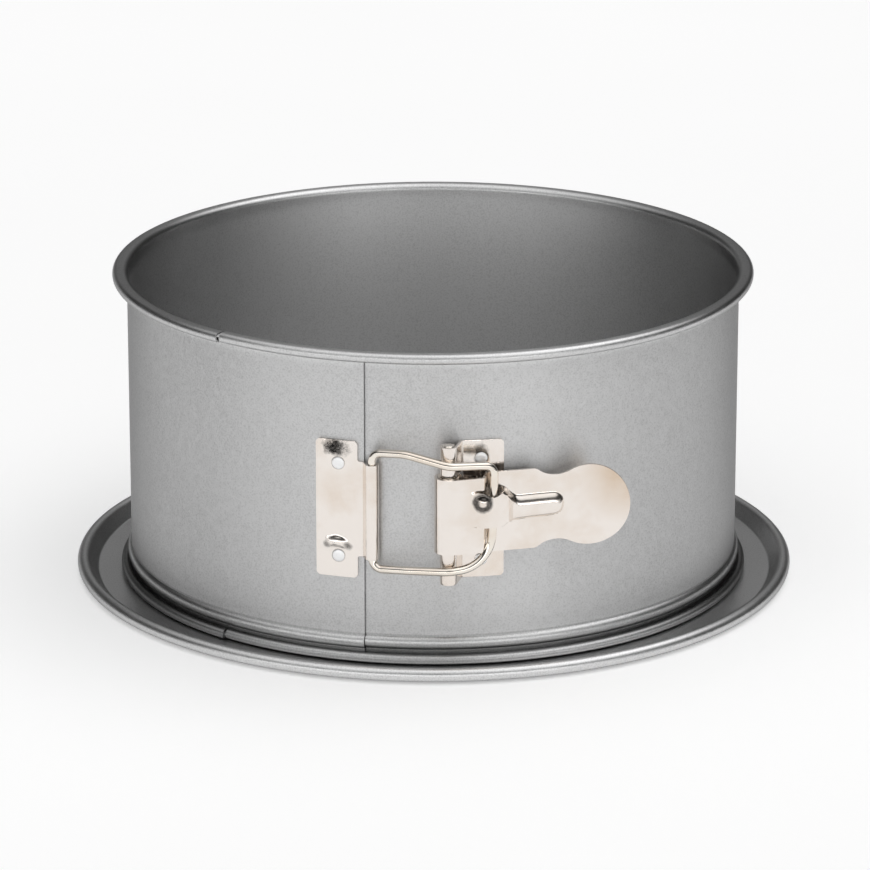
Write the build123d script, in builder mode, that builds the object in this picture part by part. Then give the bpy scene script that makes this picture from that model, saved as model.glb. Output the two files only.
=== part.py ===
from build123d import *

import math
import os

# Deep round spring-form cake tin: a lipped base and a rolled steel band
# that a wire bail and an over-centre lever pull shut. Sizes in millimetres.
# The latch faces -Y. Angles round the tin are counted from the front,
# positive towards +X, and all of them are in degrees.

# Driving sizes of the tin
inner_radius = 120.0
rim_height = 124.4
latch_height = 62.6

# The band: one strip, rolled at both edges, whose ends lap at the front left
band_sheet = 0.6
layer_gap = 0.55
tuck_clearance = 0.35
outer_end_angle = -12.5
inner_end_angle = -40.0
step_gap_angle = 0.5

rim_reach = 6.3
rim_bend = 2.4
rim_roll = 1.95
rim_turn = 240.0

foot_height = 1.1
foot_reach = 4.7
foot_bend = 1.9
foot_roll = 1.9
foot_turn = 200.0

groove_middle = 8.4
groove_half_height = 3.2
groove_depth = 1.5
groove_crest_share = 0.72

# The base: a raised disc whose hemmed edge sits in the groove, and a drip tray
base_sheet = 0.7
groove_clearance = 0.4
hem_roll = 1.0
hem_inset = 2.2
hem_neck_bend = 0.6
floor_corner = 0.8
floor_to_wall = 1.2
tray_reach = 23.0
tray_slope_angle = 50.0
tray_roll = 1.95
tray_rim_height = 5.5
tray_turn = 260.0

# Latch sheet, wire and clearances
plate_sheet = 0.9
lever_sheet = 1.1
wire_radius = 1.6
seat_gap = 0.05
hinge_gap = 0.1
curl_band_gap = 0.15
plate_height = 54.2
plate_corner = 1.7
notch_corner = 0.9

# Keeper: the plate on the band's outer end, curled round the bail
keeper_drop = 0.9
keeper_width = 18.0
keeper_step = 1.7
keeper_bend_angle = -12.8
curl_drop = 0.5
curl_height = 37.5
curl_bend = 1.5
curl_rise_angle = 60.0
curl_turn = 280.0

# Bracket: the plate under the lever, rolled into two barrels
bracket_lift = 0.1
bracket_width = 15.0
notch_gap = 0.3
notch_width = 12.0
bracket_bend_angle = 5.4
flange_bend = 1.9
flange_angle = 70.0
pin_stand_off = 7.35
barrel_turn = 300.0

# Hinge pin: two thin ends in the barrels and a thicker middle in the lever
pin_end_radius = 2.3
pin_middle_radius = 3.3
pin_shoulder_gap = 0.2
pin_proud = 0.6
pin_round = 1.1

# Lever: knuckle, flat arm with a step, lanced hump, pressed rib, round tip
lever_lift = 0.5
lever_angle = 14.5
knuckle_height = 29.4
knuckle_turn = 290.0
arm_height = 31.4
arm_distance = 13.8
tip_radius = 15.9
tip_distance = 55.2
neck_distance = 41.6
neck_rise = 25.4
shoulder_round = 3.0
arm_drop = 2.9
drop_distance = 10.0
drop_length = 3.0
drop_bend = 1.5
flare_distance = 46.0
flare_bend = 90.0
flare_angle = 18.0
hump_height = 13.4
hump_lift = 2.6
hump_distance = 7.0
hump_rise_length = 2.2
hump_roof_reach = 21.7
hump_wall_length = 0.5
hump_foot_length = 3.0
hump_crown_bend = 1.2
window_distance = 6.0
window_reach = 23.3
window_gap = 0.2
rib_distance = 22.5
rib_reach = 44.4
rib_width = 10.6
rib_end_width = 8.4
rib_lift = 1.9
rib_press = 1.8
rib_draft = 50.0
pip_distance = 11.2
pip_rise = 6.1
pip_radius = 2.0
pip_height = 0.9

# Bail: the bent wire loop; rises are counted from the latch's middle height
bail_reach = 47.3
bail_in_hump = 4.9
roof_gap = 0.2
bail_left_rise = 22.9
bail_bow_rise = 24.1
bail_pin_rise = 20.8
bail_right_rise = 19.8
bail_bow_share = 0.27
bail_bow_out = 4.3
bail_pin_gap = 0.55
bail_left_bend = 3.4
bail_bow_bend = 6.0
bail_pin_bend = 8.0
bail_top_bend = 3.8
bail_low_bend = 13.5
wire_joint_gap = 0.4

# Rivets
rivet_head_radius = 2.4
rivet_head_edge = 0.2
rivet_head_dome = 0.4
rivet_shank_radius = 1.5
rivet_hole_gap = 0.05
rivet_tail_radius = 2.2
rivet_tail_height = 0.2
rivet_tail_gap = 0.08
keeper_rivet_drop = 1.2
keeper_rivet_angle = -17.1
keeper_rivet_rise = 18.4
bracket_rivet_angle = 8.4
bracket_rivet_rise = 20.0

# Parts of a turn, in degrees
quarter_turn = 90.0
half_turn = 180.0
full_turn = 360.0

# Sizes that follow from the ones above
tray_radius = inner_radius + tray_reach
keeper_level = latch_height - keeper_drop
keeper_rivet_level = latch_height - keeper_rivet_drop
curl_level = latch_height - curl_drop
bracket_level = latch_height + bracket_lift
lever_level = latch_height + lever_lift
lap_middle_angle = (outer_end_angle + inner_end_angle) / 2
layer_shift = band_sheet + layer_gap
axis_shift = layer_shift / (1 + math.cos(math.radians(lap_middle_angle)))
outer_radius = inner_radius + axis_shift
nest_inset = band_sheet + tuck_clearance
keeper_seat_radius = outer_radius + band_sheet + seat_gap
bracket_seat_radius = inner_radius + band_sheet + seat_gap
tin_axis_point = Vector(0, 0, 0)
outer_axis_point = Vector(0, -axis_shift, 0)
vertical = Vector(0, 0, 1)


def outward(angle):
    """Unit vector that points away from the tin's axis at a front angle."""
    turn = math.radians(angle)
    return Vector(math.sin(turn), -math.cos(turn), 0)


def rightward(angle):
    """Unit vector along the wall, towards growing front angles."""
    turn = math.radians(angle)
    return Vector(math.cos(turn), math.sin(turn), 0)


def profile_plane(angle, axis_point):
    """Upright plane through an axis: x runs outward and y runs up."""
    return Plane(origin=axis_point, x_dir=outward(angle), z_dir=-rightward(angle))


def wall_plane(angle, radius, height, axis_point):
    """Plane on the wall: x runs right, y runs up and z runs outward."""
    place = axis_point + outward(angle) * radius + vertical * height
    return Plane(origin=place, x_dir=rightward(angle), z_dir=outward(angle))


def plan_plane(origin, x_dir, height):
    """Level plane, seen from below: x as given, y outward and z down."""
    place = Vector(origin.X, origin.Y, height)
    return Plane(origin=place, x_dir=x_dir, z_dir=-vertical)


def on_circle(radius, angle, centre=(0, 0)):
    """Point on a circle, its angle in degrees from the x direction."""
    turn = math.radians(angle)
    return (centre[0] + radius * math.cos(turn), centre[1] + radius * math.sin(turn))


def direction(angle):
    """Unit direction in a sketch, its angle in degrees."""
    return on_circle(1, angle)


def thicken(start, sheet, side):
    """Close the open line to a sheet's section; side 1 is left and -1 right."""
    path = list(edges())
    near = Vector(*start)
    corners = []
    while path:
        edge = min(
            path, key=lambda one: min((one @ 0 - near).length, (one @ 1 - near).length)
        )
        path.remove(edge)
        forward = (edge @ 0 - near).length < (edge @ 1 - near).length
        stations = (0, 1 / 2, 1) if forward else (1, 1 / 2, 0)
        step = sheet * side if forward else -sheet * side
        moved = [
            edge @ share + (edge % share).rotate(Axis.Z, quarter_turn) * step for share in stations
        ]
        if edge.geom_type == GeomType.LINE:
            Line(moved[0], moved[-1])
        else:
            ThreePointArc(*moved)
        corners += [moved[0], moved[-1]]
        near = edge @ stations[-1]
    Line(Vector(*start), corners[0])
    Line(near, corners[-1])


def lever_plane(rise, level):
    """Plane over the lever: x along it, y up, z out; level is from the pivot."""
    place = lever_pivot + vertical * rise + lever_out * level
    return Plane(origin=place, x_dir=lever_along, z_dir=lever_out)


def rib_shape(start, inset):
    """Draw the rib's outline in the open sketch, made smaller by the inset."""
    end_radius = rib_end_width / 2
    half_width = rib_width / 2 - inset
    with BuildLine() as hull:
        Line((start, -half_width), (start, half_width))
        CenterArc((rib_reach - end_radius, 0), end_radius - inset, 0, full_turn)
    make_hull(hull.edges())


def band_strip(wall_radius, rim, foot):
    """Outline of the strip's section from (top, reach, bend, roll) sizes."""
    rim_top, rim_out, rim_in_bend, rim_out_roll = rim
    foot_low, foot_out, foot_in_bend, foot_out_roll = foot
    curve_sum = groove_half_height / math.sin(math.radians(groove_slope))
    crest = curve_sum * groove_crest_share
    crease = curve_sum - crest
    curl_centre = (wall_radius + foot_out - foot_out_roll, foot_low + foot_out_roll)
    curl_start = foot_turn - quarter_turn
    with BuildLine() as line:
        foot_curl = JernArc(
            on_circle(foot_out_roll, curl_start, curl_centre),
            direction(curl_start - quarter_turn),
            foot_out_roll,
            -foot_turn,
        )
        foot_run = Line(foot_curl @ 1, (wall_radius + foot_in_bend, foot_low))
        corner = JernArc(foot_run @ 1, (-1, 0), foot_in_bend, -quarter_turn)
        neck = Line(corner @ 1, (wall_radius, groove_middle - groove_half_height))
        low = JernArc(neck @ 1, (0, 1), crease, -groove_slope)
        top = JernArc(low @ 1, low % 1, crest, 2 * groove_slope)
        high = JernArc(top @ 1, top % 1, crease, -groove_slope)
        wall = Line(high @ 1, (wall_radius, rim_top - rim_in_bend))
        rim_corner = JernArc(wall @ 1, (0, 1), rim_in_bend, -quarter_turn)
        rim_run = Line(rim_corner @ 1, (wall_radius + rim_out - rim_out_roll, rim_top))
        JernArc(rim_run @ 1, (1, 0), rim_out_roll, -rim_turn)
        thicken(foot_curl @ 0, band_sheet, -1)
    return line.line


groove_slope = math.degrees(2 * math.atan(groove_depth / groove_half_height))
full_rim = (rim_height, rim_reach, rim_bend, rim_roll)
full_foot = (foot_height, foot_reach, foot_bend, foot_roll)
nested_rim = (
    rim_height - nest_inset,
    rim_reach - nest_inset - layer_shift,
    rim_bend - layer_shift,
    rim_roll - nest_inset,
)
nested_foot = (
    foot_height + nest_inset,
    foot_reach - nest_inset - layer_shift,
    foot_bend - layer_shift,
    foot_roll - nest_inset,
)
step_angle = inner_end_angle - step_gap_angle

# Keeper and bracket frames, and the pivots that follow from them
curl_radius = wire_radius + hinge_gap
curl_outer_radius = curl_radius + plate_sheet
pivot_height = curl_outer_radius + curl_band_gap
keeper_origin = outer_axis_point + outward(keeper_bend_angle) * keeper_seat_radius
rise_tangent = on_circle(curl_radius, quarter_turn + curl_rise_angle, (0, pivot_height))
rise_foot = rise_tangent[0] - rise_tangent[1] / math.tan(math.radians(curl_rise_angle))
rise_fillet = curl_bend * math.tan(math.radians(curl_rise_angle / 2))
curl_run = rise_fillet - rise_foot
bail_pivot = (
    keeper_origin
    + rightward(keeper_bend_angle) * curl_run
    + outward(keeper_bend_angle) * pivot_height
)

barrel_inner_radius = pin_end_radius + seat_gap
barrel_outer_radius = barrel_inner_radius + plate_sheet
flange_fillet = flange_bend * math.tan(math.radians(flange_angle / 2))
flange_touch = on_circle(barrel_inner_radius, quarter_turn - flange_angle, (0, pin_stand_off))
flange_foot = flange_touch[0] + flange_touch[1] / math.tan(math.radians(flange_angle))
pin_offset = flange_foot + flange_fillet
bracket_origin = outward(bracket_bend_angle) * bracket_seat_radius
lever_pivot = (
    bracket_origin
    - rightward(bracket_bend_angle) * pin_offset
    + outward(bracket_bend_angle) * pin_stand_off
)

lever_along = Vector(
    math.cos(math.radians(lever_angle)), math.sin(math.radians(lever_angle)), 0
)
lever_out = Vector(
    math.sin(math.radians(lever_angle)), -math.cos(math.radians(lever_angle)), 0
)
knuckle_inner_radius = pin_middle_radius + hinge_gap
arm_inner_level = knuckle_inner_radius - arm_drop
bail_step = lever_pivot + lever_out * bail_in_hump - bail_pivot
step_along = bail_step.dot(lever_along)
step_across = bail_step.dot(lever_out)
bail_distance = math.sqrt(bail_reach**2 - step_across**2) - step_along
bail_end = lever_pivot + lever_along * bail_distance + lever_out * bail_in_hump
hump_roof_level = bail_in_hump + wire_radius + roof_gap
latch_window = knuckle_height + 2 * notch_gap
rivet_stack = plate_sheet + seat_gap + band_sheet + rivet_tail_gap


def rivet_holes(angle, radius, level, rise, axis_point):
    """Take two rivet holes out of the sheet that the open part holds."""
    with BuildSketch(wall_plane(angle, radius, level, axis_point)) as holes:
        with Locations((0, rise), (0, -rise)):
            Circle(rivet_shank_radius + rivet_hole_gap)
    extrude(holes.sketch, amount=rim_reach, both=True, mode=Mode.SUBTRACT)


def rivet(angle, plate_radius, level, axis_point):
    """Turn a rivet in the open part: domed head, shank and flat tail."""
    seat = axis_point + outward(angle) * plate_radius
    dome_radius = (rivet_head_radius**2 + rivet_head_dome**2) / (2 * rivet_head_dome)
    dome_angle = math.degrees(math.asin(rivet_head_radius / dome_radius))
    head_top = seat_gap + rivet_head_edge + rivet_head_dome
    with BuildSketch(plan_plane(seat, rightward(angle), level)) as half:
        with BuildLine():
            dome = JernArc((0, head_top), (1, 0), dome_radius, -dome_angle)
            Polyline(
                dome @ 1,
                (rivet_head_radius, seat_gap),
                (rivet_shank_radius, seat_gap),
                (rivet_shank_radius, -rivet_stack),
                (rivet_tail_radius, -rivet_stack),
                (rivet_tail_radius, -rivet_stack - rivet_tail_height),
                (0, -rivet_stack - rivet_tail_height),
                (0, head_top),
            )
        make_face()
    revolve(half.sketch, axis=Axis(Vector(seat.X, seat.Y, level), outward(angle)))


# Base: centre disc, hemmed edge, neck, floor, slope and rolled rim
with BuildPart() as base_tray:
    with BuildSketch(profile_plane(quarter_turn, tin_axis_point)):
        with BuildLine():
            hem_radius = inner_radius + groove_depth - groove_clearance
            hem_centre = hem_radius - hem_roll
            neck_radius = hem_radius - hem_inset
            disc = Line((0, groove_middle + hem_roll), (hem_centre, groove_middle + hem_roll))
            hem = JernArc(disc @ 1, (1, 0), hem_roll, -half_turn)
            tuck = Line(hem @ 1, (neck_radius + hem_neck_bend, groove_middle - hem_roll))
            neck_corner = JernArc(tuck @ 1, (-1, 0), hem_neck_bend, quarter_turn)
            neck_wall = Line(neck_corner @ 1, (neck_radius, base_sheet + floor_corner))
            inner_corner = JernArc(neck_wall @ 1, (0, -1), floor_corner, quarter_turn)
            roll_centre = (tray_radius - tray_roll, tray_rim_height - tray_roll)
            slope_top = on_circle(tray_roll, quarter_turn + tray_slope_angle, roll_centre)
            slope_run = (slope_top[1] - base_sheet) / math.tan(math.radians(tray_slope_angle))
            slope_inset = floor_to_wall * math.tan(math.radians(tray_slope_angle / 2))
            floor = Line(inner_corner @ 1, (slope_top[0] - slope_run - slope_inset, base_sheet))
            wall_corner = JernArc(floor @ 1, (1, 0), floor_to_wall, tray_slope_angle)
            slope = Line(wall_corner @ 1, slope_top)
            JernArc(slope @ 1, direction(tray_slope_angle), tray_roll, -tray_turn)
            thicken(disc @ 0, base_sheet, -1)
        make_face()
    revolve(axis=Axis.Z)
base_tray.part.label = "base_tray"

# Band: the inner layer and right half, the left half, and its nested lap
with BuildPart() as band:
    with BuildSketch(profile_plane(inner_end_angle, tin_axis_point)):
        make_face(band_strip(inner_radius, full_rim, full_foot).edges())
    revolve(axis=Axis.Z, revolution_arc=half_turn - inner_end_angle)
    with BuildSketch(profile_plane(half_turn, outer_axis_point)):
        make_face(band_strip(outer_radius, full_rim, full_foot).edges())
    revolve(
        axis=Axis(outer_axis_point, vertical),
        revolution_arc=half_turn + step_angle,
    )
    with BuildSketch(profile_plane(step_angle, outer_axis_point)):
        make_face(band_strip(outer_radius, nested_rim, nested_foot).edges())
    revolve(
        axis=Axis(outer_axis_point, vertical),
        revolution_arc=outer_end_angle - step_angle,
    )

    rivet_holes(
        keeper_rivet_angle,
        outer_radius,
        keeper_rivet_level,
        keeper_rivet_rise,
        outer_axis_point,
    )
    rivet_holes(
        bracket_rivet_angle,
        inner_radius,
        latch_height,
        bracket_rivet_rise,
        tin_axis_point,
    )
band.part.label = "band"

# Keeper plate: riveted leaf, raised step and the curl that holds the bail
with BuildPart() as keeper_plate:
    keeper_top = keeper_level + plate_height / 2
    keeper_across = rightward(keeper_bend_angle)
    with BuildSketch(plan_plane(keeper_origin, keeper_across, keeper_top)):
        with BuildLine():
            leaf_angle = math.degrees(math.asin(keeper_width / keeper_seat_radius))
            leaf_drop = keeper_seat_radius * (1 - math.cos(math.radians(leaf_angle)))
            leaf = JernArc(
                (-keeper_width, -leaf_drop),
                direction(leaf_angle),
                keeper_seat_radius,
                -leaf_angle,
            )
            bend = JernArc(leaf @ 1, (1, 0), curl_bend, curl_rise_angle)
            wire_middle = (curl_run, pivot_height)
            rise_end = on_circle(curl_radius, quarter_turn + curl_rise_angle, wire_middle)
            rise = Line(bend @ 1, rise_end)
            JernArc(rise @ 1, direction(curl_rise_angle), curl_radius, -curl_turn)
            thicken(leaf @ 0, plate_sheet, 1)
        make_face()
    extrude(amount=plate_height)
    with BuildSketch(
        wall_plane(keeper_bend_angle, keeper_seat_radius, keeper_level, outer_axis_point)
    ):
        with Locations((-keeper_step, 0)):
            Rectangle(keeper_width - keeper_step, plate_height, align=(Align.MAX, Align.CENTER))
        fillet(vertices(), radius=plate_corner)
        with Locations((-keeper_width / 2, curl_level - keeper_level)):
            Rectangle(keeper_width, curl_height, align=(Align.MIN, Align.CENTER))
    extrude(amount=keeper_width, both=True, mode=Mode.INTERSECT)
    rivet_holes(
        keeper_rivet_angle,
        keeper_seat_radius,
        keeper_rivet_level,
        keeper_rivet_rise,
        outer_axis_point,
    )
keeper_plate.part.label = "keeper_plate"

# Keeper rivets
keeper_head_radius = keeper_seat_radius + plate_sheet
with BuildPart() as keeper_rivet_upper:
    rivet(
        keeper_rivet_angle,
        keeper_head_radius,
        keeper_rivet_level + keeper_rivet_rise,
        outer_axis_point,
    )
keeper_rivet_upper.part.label = "keeper_rivet_upper"

with BuildPart() as keeper_rivet_lower:
    rivet(
        keeper_rivet_angle,
        keeper_head_radius,
        keeper_rivet_level - keeper_rivet_rise,
        outer_axis_point,
    )
keeper_rivet_lower.part.label = "keeper_rivet_lower"

# Lever bracket: riveted leaf, flange and two barrels with a gap between them
with BuildPart() as lever_bracket:
    bracket_top = bracket_level + plate_height / 2
    bracket_across = rightward(bracket_bend_angle)
    with BuildSketch(plan_plane(bracket_origin, bracket_across, bracket_top)):
        with BuildLine():
            leaf_angle = math.degrees(math.asin(bracket_width / bracket_seat_radius))
            leaf_drop = bracket_seat_radius * (1 - math.cos(math.radians(leaf_angle)))
            leaf = JernArc(
                (bracket_width, -leaf_drop),
                direction(half_turn - leaf_angle),
                bracket_seat_radius,
                leaf_angle,
            )
            bend = JernArc(leaf @ 1, (-1, 0), flange_bend, -flange_angle)
            pin_middle = (-pin_offset, pin_stand_off)
            flange_end = on_circle(barrel_inner_radius, quarter_turn - flange_angle, pin_middle)
            flange = Line(bend @ 1, flange_end)
            JernArc(
                flange @ 1,
                direction(half_turn - flange_angle),
                barrel_inner_radius,
                barrel_turn,
            )
            thicken(leaf @ 0, plate_sheet, -1)
        make_face()
    extrude(amount=plate_height)
    with BuildSketch(
        wall_plane(bracket_bend_angle, bracket_seat_radius, bracket_level, tin_axis_point)
    ):
        with Locations((bracket_width, 0)):
            Rectangle(2 * bracket_width, plate_height, align=(Align.MAX, Align.CENTER))
        fillet(vertices(), radius=plate_corner)
        with Locations((-notch_corner, lever_level - bracket_level)):
            Rectangle(
                2 * notch_width,
                latch_window,
                align=(Align.MAX, Align.CENTER),
                mode=Mode.SUBTRACT,
            )
    extrude(amount=bracket_width, both=True, mode=Mode.INTERSECT)
    rivet_holes(
        bracket_rivet_angle,
        bracket_seat_radius,
        latch_height,
        bracket_rivet_rise,
        tin_axis_point,
    )
lever_bracket.part.label = "lever_bracket"

# Bracket rivets
bracket_head_radius = bracket_seat_radius + plate_sheet
with BuildPart() as bracket_rivet_upper:
    rivet(
        bracket_rivet_angle,
        bracket_head_radius,
        latch_height + bracket_rivet_rise,
        tin_axis_point,
    )
bracket_rivet_upper.part.label = "bracket_rivet_upper"

with BuildPart() as bracket_rivet_lower:
    rivet(
        bracket_rivet_angle,
        bracket_head_radius,
        latch_height - bracket_rivet_rise,
        tin_axis_point,
    )
bracket_rivet_lower.part.label = "bracket_rivet_lower"

# Hinge pin: thin ends in the barrels, a thicker middle inside the knuckle
with BuildPart() as hinge_pin:
    with BuildSketch(Plane(origin=lever_pivot, x_dir=lever_along, z_dir=lever_out)):
        pin_low = bracket_level - plate_height / 2 - pin_proud
        pin_high = bracket_level + plate_height / 2 + pin_proud
        middle_low = lever_level - latch_window / 2 + pin_shoulder_gap
        middle_high = lever_level + latch_window / 2 - pin_shoulder_gap
        with BuildLine():
            Polyline(
                (0, pin_low),
                (pin_end_radius, pin_low),
                (pin_end_radius, middle_low),
                (pin_middle_radius, middle_low),
                (pin_middle_radius, middle_high),
                (pin_end_radius, middle_high),
                (pin_end_radius, pin_high),
                (0, pin_high),
                (0, pin_low),
            )
        make_face()
        end_corners = vertices().filter_by_position(
            Axis.X, pin_end_radius / 2, pin_middle_radius
        )
        fillet([end_corners.sort_by(Axis.Y)[0], end_corners.sort_by(Axis.Y)[-1]], pin_round)
    revolve(axis=Axis(lever_pivot, vertical))
hinge_pin.part.label = "hinge_pin"

# Lever
with BuildPart() as lever:
    arm_top = lever_level + arm_height / 2
    with BuildSketch(plan_plane(lever_pivot, lever_along, arm_top)):
        with BuildLine():
            knuckle = JernArc(
                on_circle(knuckle_inner_radius, quarter_turn + knuckle_turn),
                direction(knuckle_turn),
                knuckle_inner_radius,
                -knuckle_turn,
            )
            arm = FilletPolyline(
                knuckle @ 1,
                (drop_distance, knuckle_inner_radius),
                (drop_distance + drop_length, arm_inner_level),
                (flare_distance, arm_inner_level),
                radius=drop_bend,
            )
            JernArc(arm @ 1, (1, 0), flare_bend, flare_angle)
            thicken(knuckle @ 0, lever_sheet, 1)
        make_face()
    extrude(amount=arm_height)
    with BuildSketch(lever_plane(lever_level, 0)):
        tip_step = tip_distance - neck_distance
        neck_radius = math.hypot(tip_step, neck_rise) - tip_radius
        touch_share = neck_radius / (neck_radius + tip_radius)
        with Locations((arm_distance, 0)):
            Rectangle(2 * arm_distance, knuckle_height, align=(Align.MAX, Align.CENTER))
            Rectangle(
                neck_distance + tip_step * touch_share - arm_distance,
                arm_height,
                align=(Align.MIN, Align.CENTER),
            )
        with Locations((tip_distance, 0)):
            Circle(tip_radius)
        with Locations((neck_distance, neck_rise), (neck_distance, -neck_rise)):
            Circle(neck_radius, mode=Mode.SUBTRACT)
        shoulders = vertices().filter_by_position(Axis.X, 2 * arm_distance, neck_distance)
        fillet(shoulders, radius=shoulder_round)
    extrude(amount=tip_distance, both=True, mode=Mode.INTERSECT)
    with BuildSketch(lever_plane(lever_level + hump_lift, 0)):
        with Locations(((window_distance + window_reach) / 2, 0)):
            Rectangle(window_reach - window_distance, hump_height + 2 * window_gap)
    extrude(amount=tip_distance, both=True, mode=Mode.SUBTRACT)
    hump_top = lever_level + hump_lift + hump_height / 2
    with BuildSketch(plan_plane(lever_pivot, lever_along, hump_top)):
        with BuildLine():
            roof_start = hump_distance + hump_rise_length
            roof_stop = hump_roof_reach + hump_wall_length
            bridge = FilletPolyline(
                (0, knuckle_inner_radius),
                (hump_distance, knuckle_inner_radius),
                (roof_start, hump_roof_level),
                (hump_roof_reach, hump_roof_level),
                (roof_stop, arm_inner_level),
                (roof_stop + hump_foot_length, arm_inner_level),
                radius=hump_crown_bend,
            )
            thicken(bridge @ 0, lever_sheet, 1)
        make_face()
    extrude(amount=hump_height)
    rib_level = lever_level + rib_lift
    with BuildSketch(lever_plane(rib_level, arm_inner_level + lever_sheet)):
        rib_shape(rib_distance, 0)
    extrude(amount=rib_press, taper=rib_draft)
    recess_inset = lever_sheet * math.tan(math.radians((quarter_turn - rib_draft) / 2))
    with BuildSketch(lever_plane(rib_level, arm_inner_level)):
        rib_shape(rib_distance + 2 * lever_sheet, recess_inset)
    extrude(amount=rib_press, taper=rib_draft, mode=Mode.SUBTRACT)
    pip_sphere = (pip_radius**2 + pip_height**2) / (2 * pip_height)
    pip_angle = math.degrees(math.asin(pip_radius / pip_sphere))
    pip_place = lever_pivot + lever_along * pip_distance
    pip_seat = pip_place + lever_out * (hump_roof_level + lever_sheet)
    pip_level = lever_level + pip_rise
    with BuildSketch(plan_plane(pip_seat, lever_along, pip_level)):
        with BuildLine():
            pip_dome = JernArc((0, pip_height), (1, 0), pip_sphere, -pip_angle)
            Polyline(
                pip_dome @ 1,
                (pip_radius, -lever_sheet / 2),
                (0, -lever_sheet / 2),
                (0, pip_height),
            )
        make_face()
    revolve(axis=Axis(Vector(pip_seat.X, pip_seat.Y, pip_level), lever_out))
lever.part.label = "lever"

# Bail: one wire, bent to a loop, its ends meeting inside the keeper's curl
with BuildPart() as bail:
    wire_seam = vertical * (wire_joint_gap / 2)
    middle = vertical * latch_height
    pin_front = barrel_outer_radius + bail_pin_gap + wire_radius
    bow_point = bail_pivot + (bail_end - bail_pivot) * bail_bow_share + Vector(0, -bail_bow_out, 0)
    pin_point = lever_pivot + Vector(0, -pin_front, 0)
    with BuildLine() as wire_path:
        FilletPolyline(
            bail_pivot + middle + wire_seam,
            bail_pivot + middle + vertical * bail_left_rise,
            bow_point + middle + vertical * bail_bow_rise,
            pin_point + middle + vertical * bail_pin_rise,
            bail_end + middle + vertical * bail_right_rise,
            bail_end + middle - vertical * bail_right_rise,
            pin_point + middle - vertical * bail_pin_rise,
            bow_point + middle - vertical * bail_bow_rise,
            bail_pivot + middle - vertical * bail_left_rise,
            bail_pivot + middle - wire_seam,
            radius=[
                bail_left_bend,
                bail_bow_bend,
                bail_pin_bend,
                bail_top_bend,
                bail_low_bend,
                bail_pin_bend,
                bail_bow_bend,
                bail_left_bend,
            ],
        )
    with BuildSketch(Plane(origin=wire_path.line @ 0, z_dir=wire_path.line % 0)):
        Circle(wire_radius)
    sweep(path=wire_path.line)
bail.part.label = "bail"

os.makedirs("parts", exist_ok=True)
export_step(base_tray.part, "parts/base_tray.step")
export_step(band.part, "parts/band.step")
export_step(keeper_plate.part, "parts/keeper_plate.step")
export_step(keeper_rivet_upper.part, "parts/keeper_rivet_upper.step")
export_step(keeper_rivet_lower.part, "parts/keeper_rivet_lower.step")
export_step(lever_bracket.part, "parts/lever_bracket.step")
export_step(bracket_rivet_upper.part, "parts/bracket_rivet_upper.step")
export_step(bracket_rivet_lower.part, "parts/bracket_rivet_lower.step")
export_step(hinge_pin.part, "parts/hinge_pin.step")
export_step(lever.part, "parts/lever.step")
export_step(bail.part, "parts/bail.step")
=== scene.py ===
"""Deep round spring-form cake tin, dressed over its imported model.

Each sub-assembly is a class: the base with its drip tray, the rolled band, the
keeper, the bracket, the lever, the wire bail and the rivets. Sizes in the
classes are millimetres; meshes are made in metres. Angles round the tin are
counted from the front, positive towards +X, in degrees.
"""

import logging
import math
from abc import ABC, abstractmethod
from collections.abc import Callable, Sequence
from dataclasses import dataclass, field, replace
from enum import Enum
from functools import cached_property
from typing import Protocol

import bmesh
import bpy
import numpy as np
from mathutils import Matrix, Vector
from mathutils.geometry import delaunay_2d_cdt


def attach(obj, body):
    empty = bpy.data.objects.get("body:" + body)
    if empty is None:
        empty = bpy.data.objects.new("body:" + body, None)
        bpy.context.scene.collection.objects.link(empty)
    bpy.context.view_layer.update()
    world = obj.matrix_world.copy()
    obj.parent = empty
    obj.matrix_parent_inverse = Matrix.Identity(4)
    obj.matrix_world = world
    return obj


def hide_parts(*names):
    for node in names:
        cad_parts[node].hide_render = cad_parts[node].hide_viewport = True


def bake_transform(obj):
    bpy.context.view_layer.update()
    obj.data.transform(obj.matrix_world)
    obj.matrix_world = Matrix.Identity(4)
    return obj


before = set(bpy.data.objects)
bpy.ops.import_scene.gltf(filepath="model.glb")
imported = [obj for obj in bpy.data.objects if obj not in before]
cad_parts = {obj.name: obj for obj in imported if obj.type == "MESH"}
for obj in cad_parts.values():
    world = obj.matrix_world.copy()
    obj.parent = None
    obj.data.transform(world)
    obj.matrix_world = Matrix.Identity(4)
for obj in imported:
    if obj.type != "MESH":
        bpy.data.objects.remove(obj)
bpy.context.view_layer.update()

log = logging.getLogger("cake_tin")

# Metres in a millimetre
METRES = 0.001
# Side of the photograph in pixels
IMAGE_SIDE = 870
UP = Vector((0.0, 0.0, 1.0))
# Point attribute that keeps each point's height when the band is bent open
REST_HEIGHT = "rest_height"
# Sizes too small and too large to matter
TINY = 1e-9
FAR = 1e9
# Largest turn in degrees between two points of a rolled section
ROLL_STEP = 9.0
# Where a rounded cut edge has points, in degrees from its middle
EDGE_SWEEP = (-45.0, 0.0, 45.0)

Point = tuple[float, float]
Loop = list[Point]
Leg = tuple[float, float]
Socket = bpy.types.NodeSocket


class Body(Enum):
    """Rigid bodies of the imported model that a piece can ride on."""

    BASE = "base"
    RING = "ring"
    RING_END = "ring_end"
    BAIL = "bail"
    LEVER = "lever"


class Slot(Enum):
    """Material slots of the record."""

    BAND = "band_steel"
    BASE = "base_steel"
    PLATE = "latch_plate"
    WIRE = "latch_wire"
    RIVET = "rivet"


class Layer(Enum):
    """Way of mixing two colours."""

    OVER = "MIX"
    DARKEN = "MULTIPLY"


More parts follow.
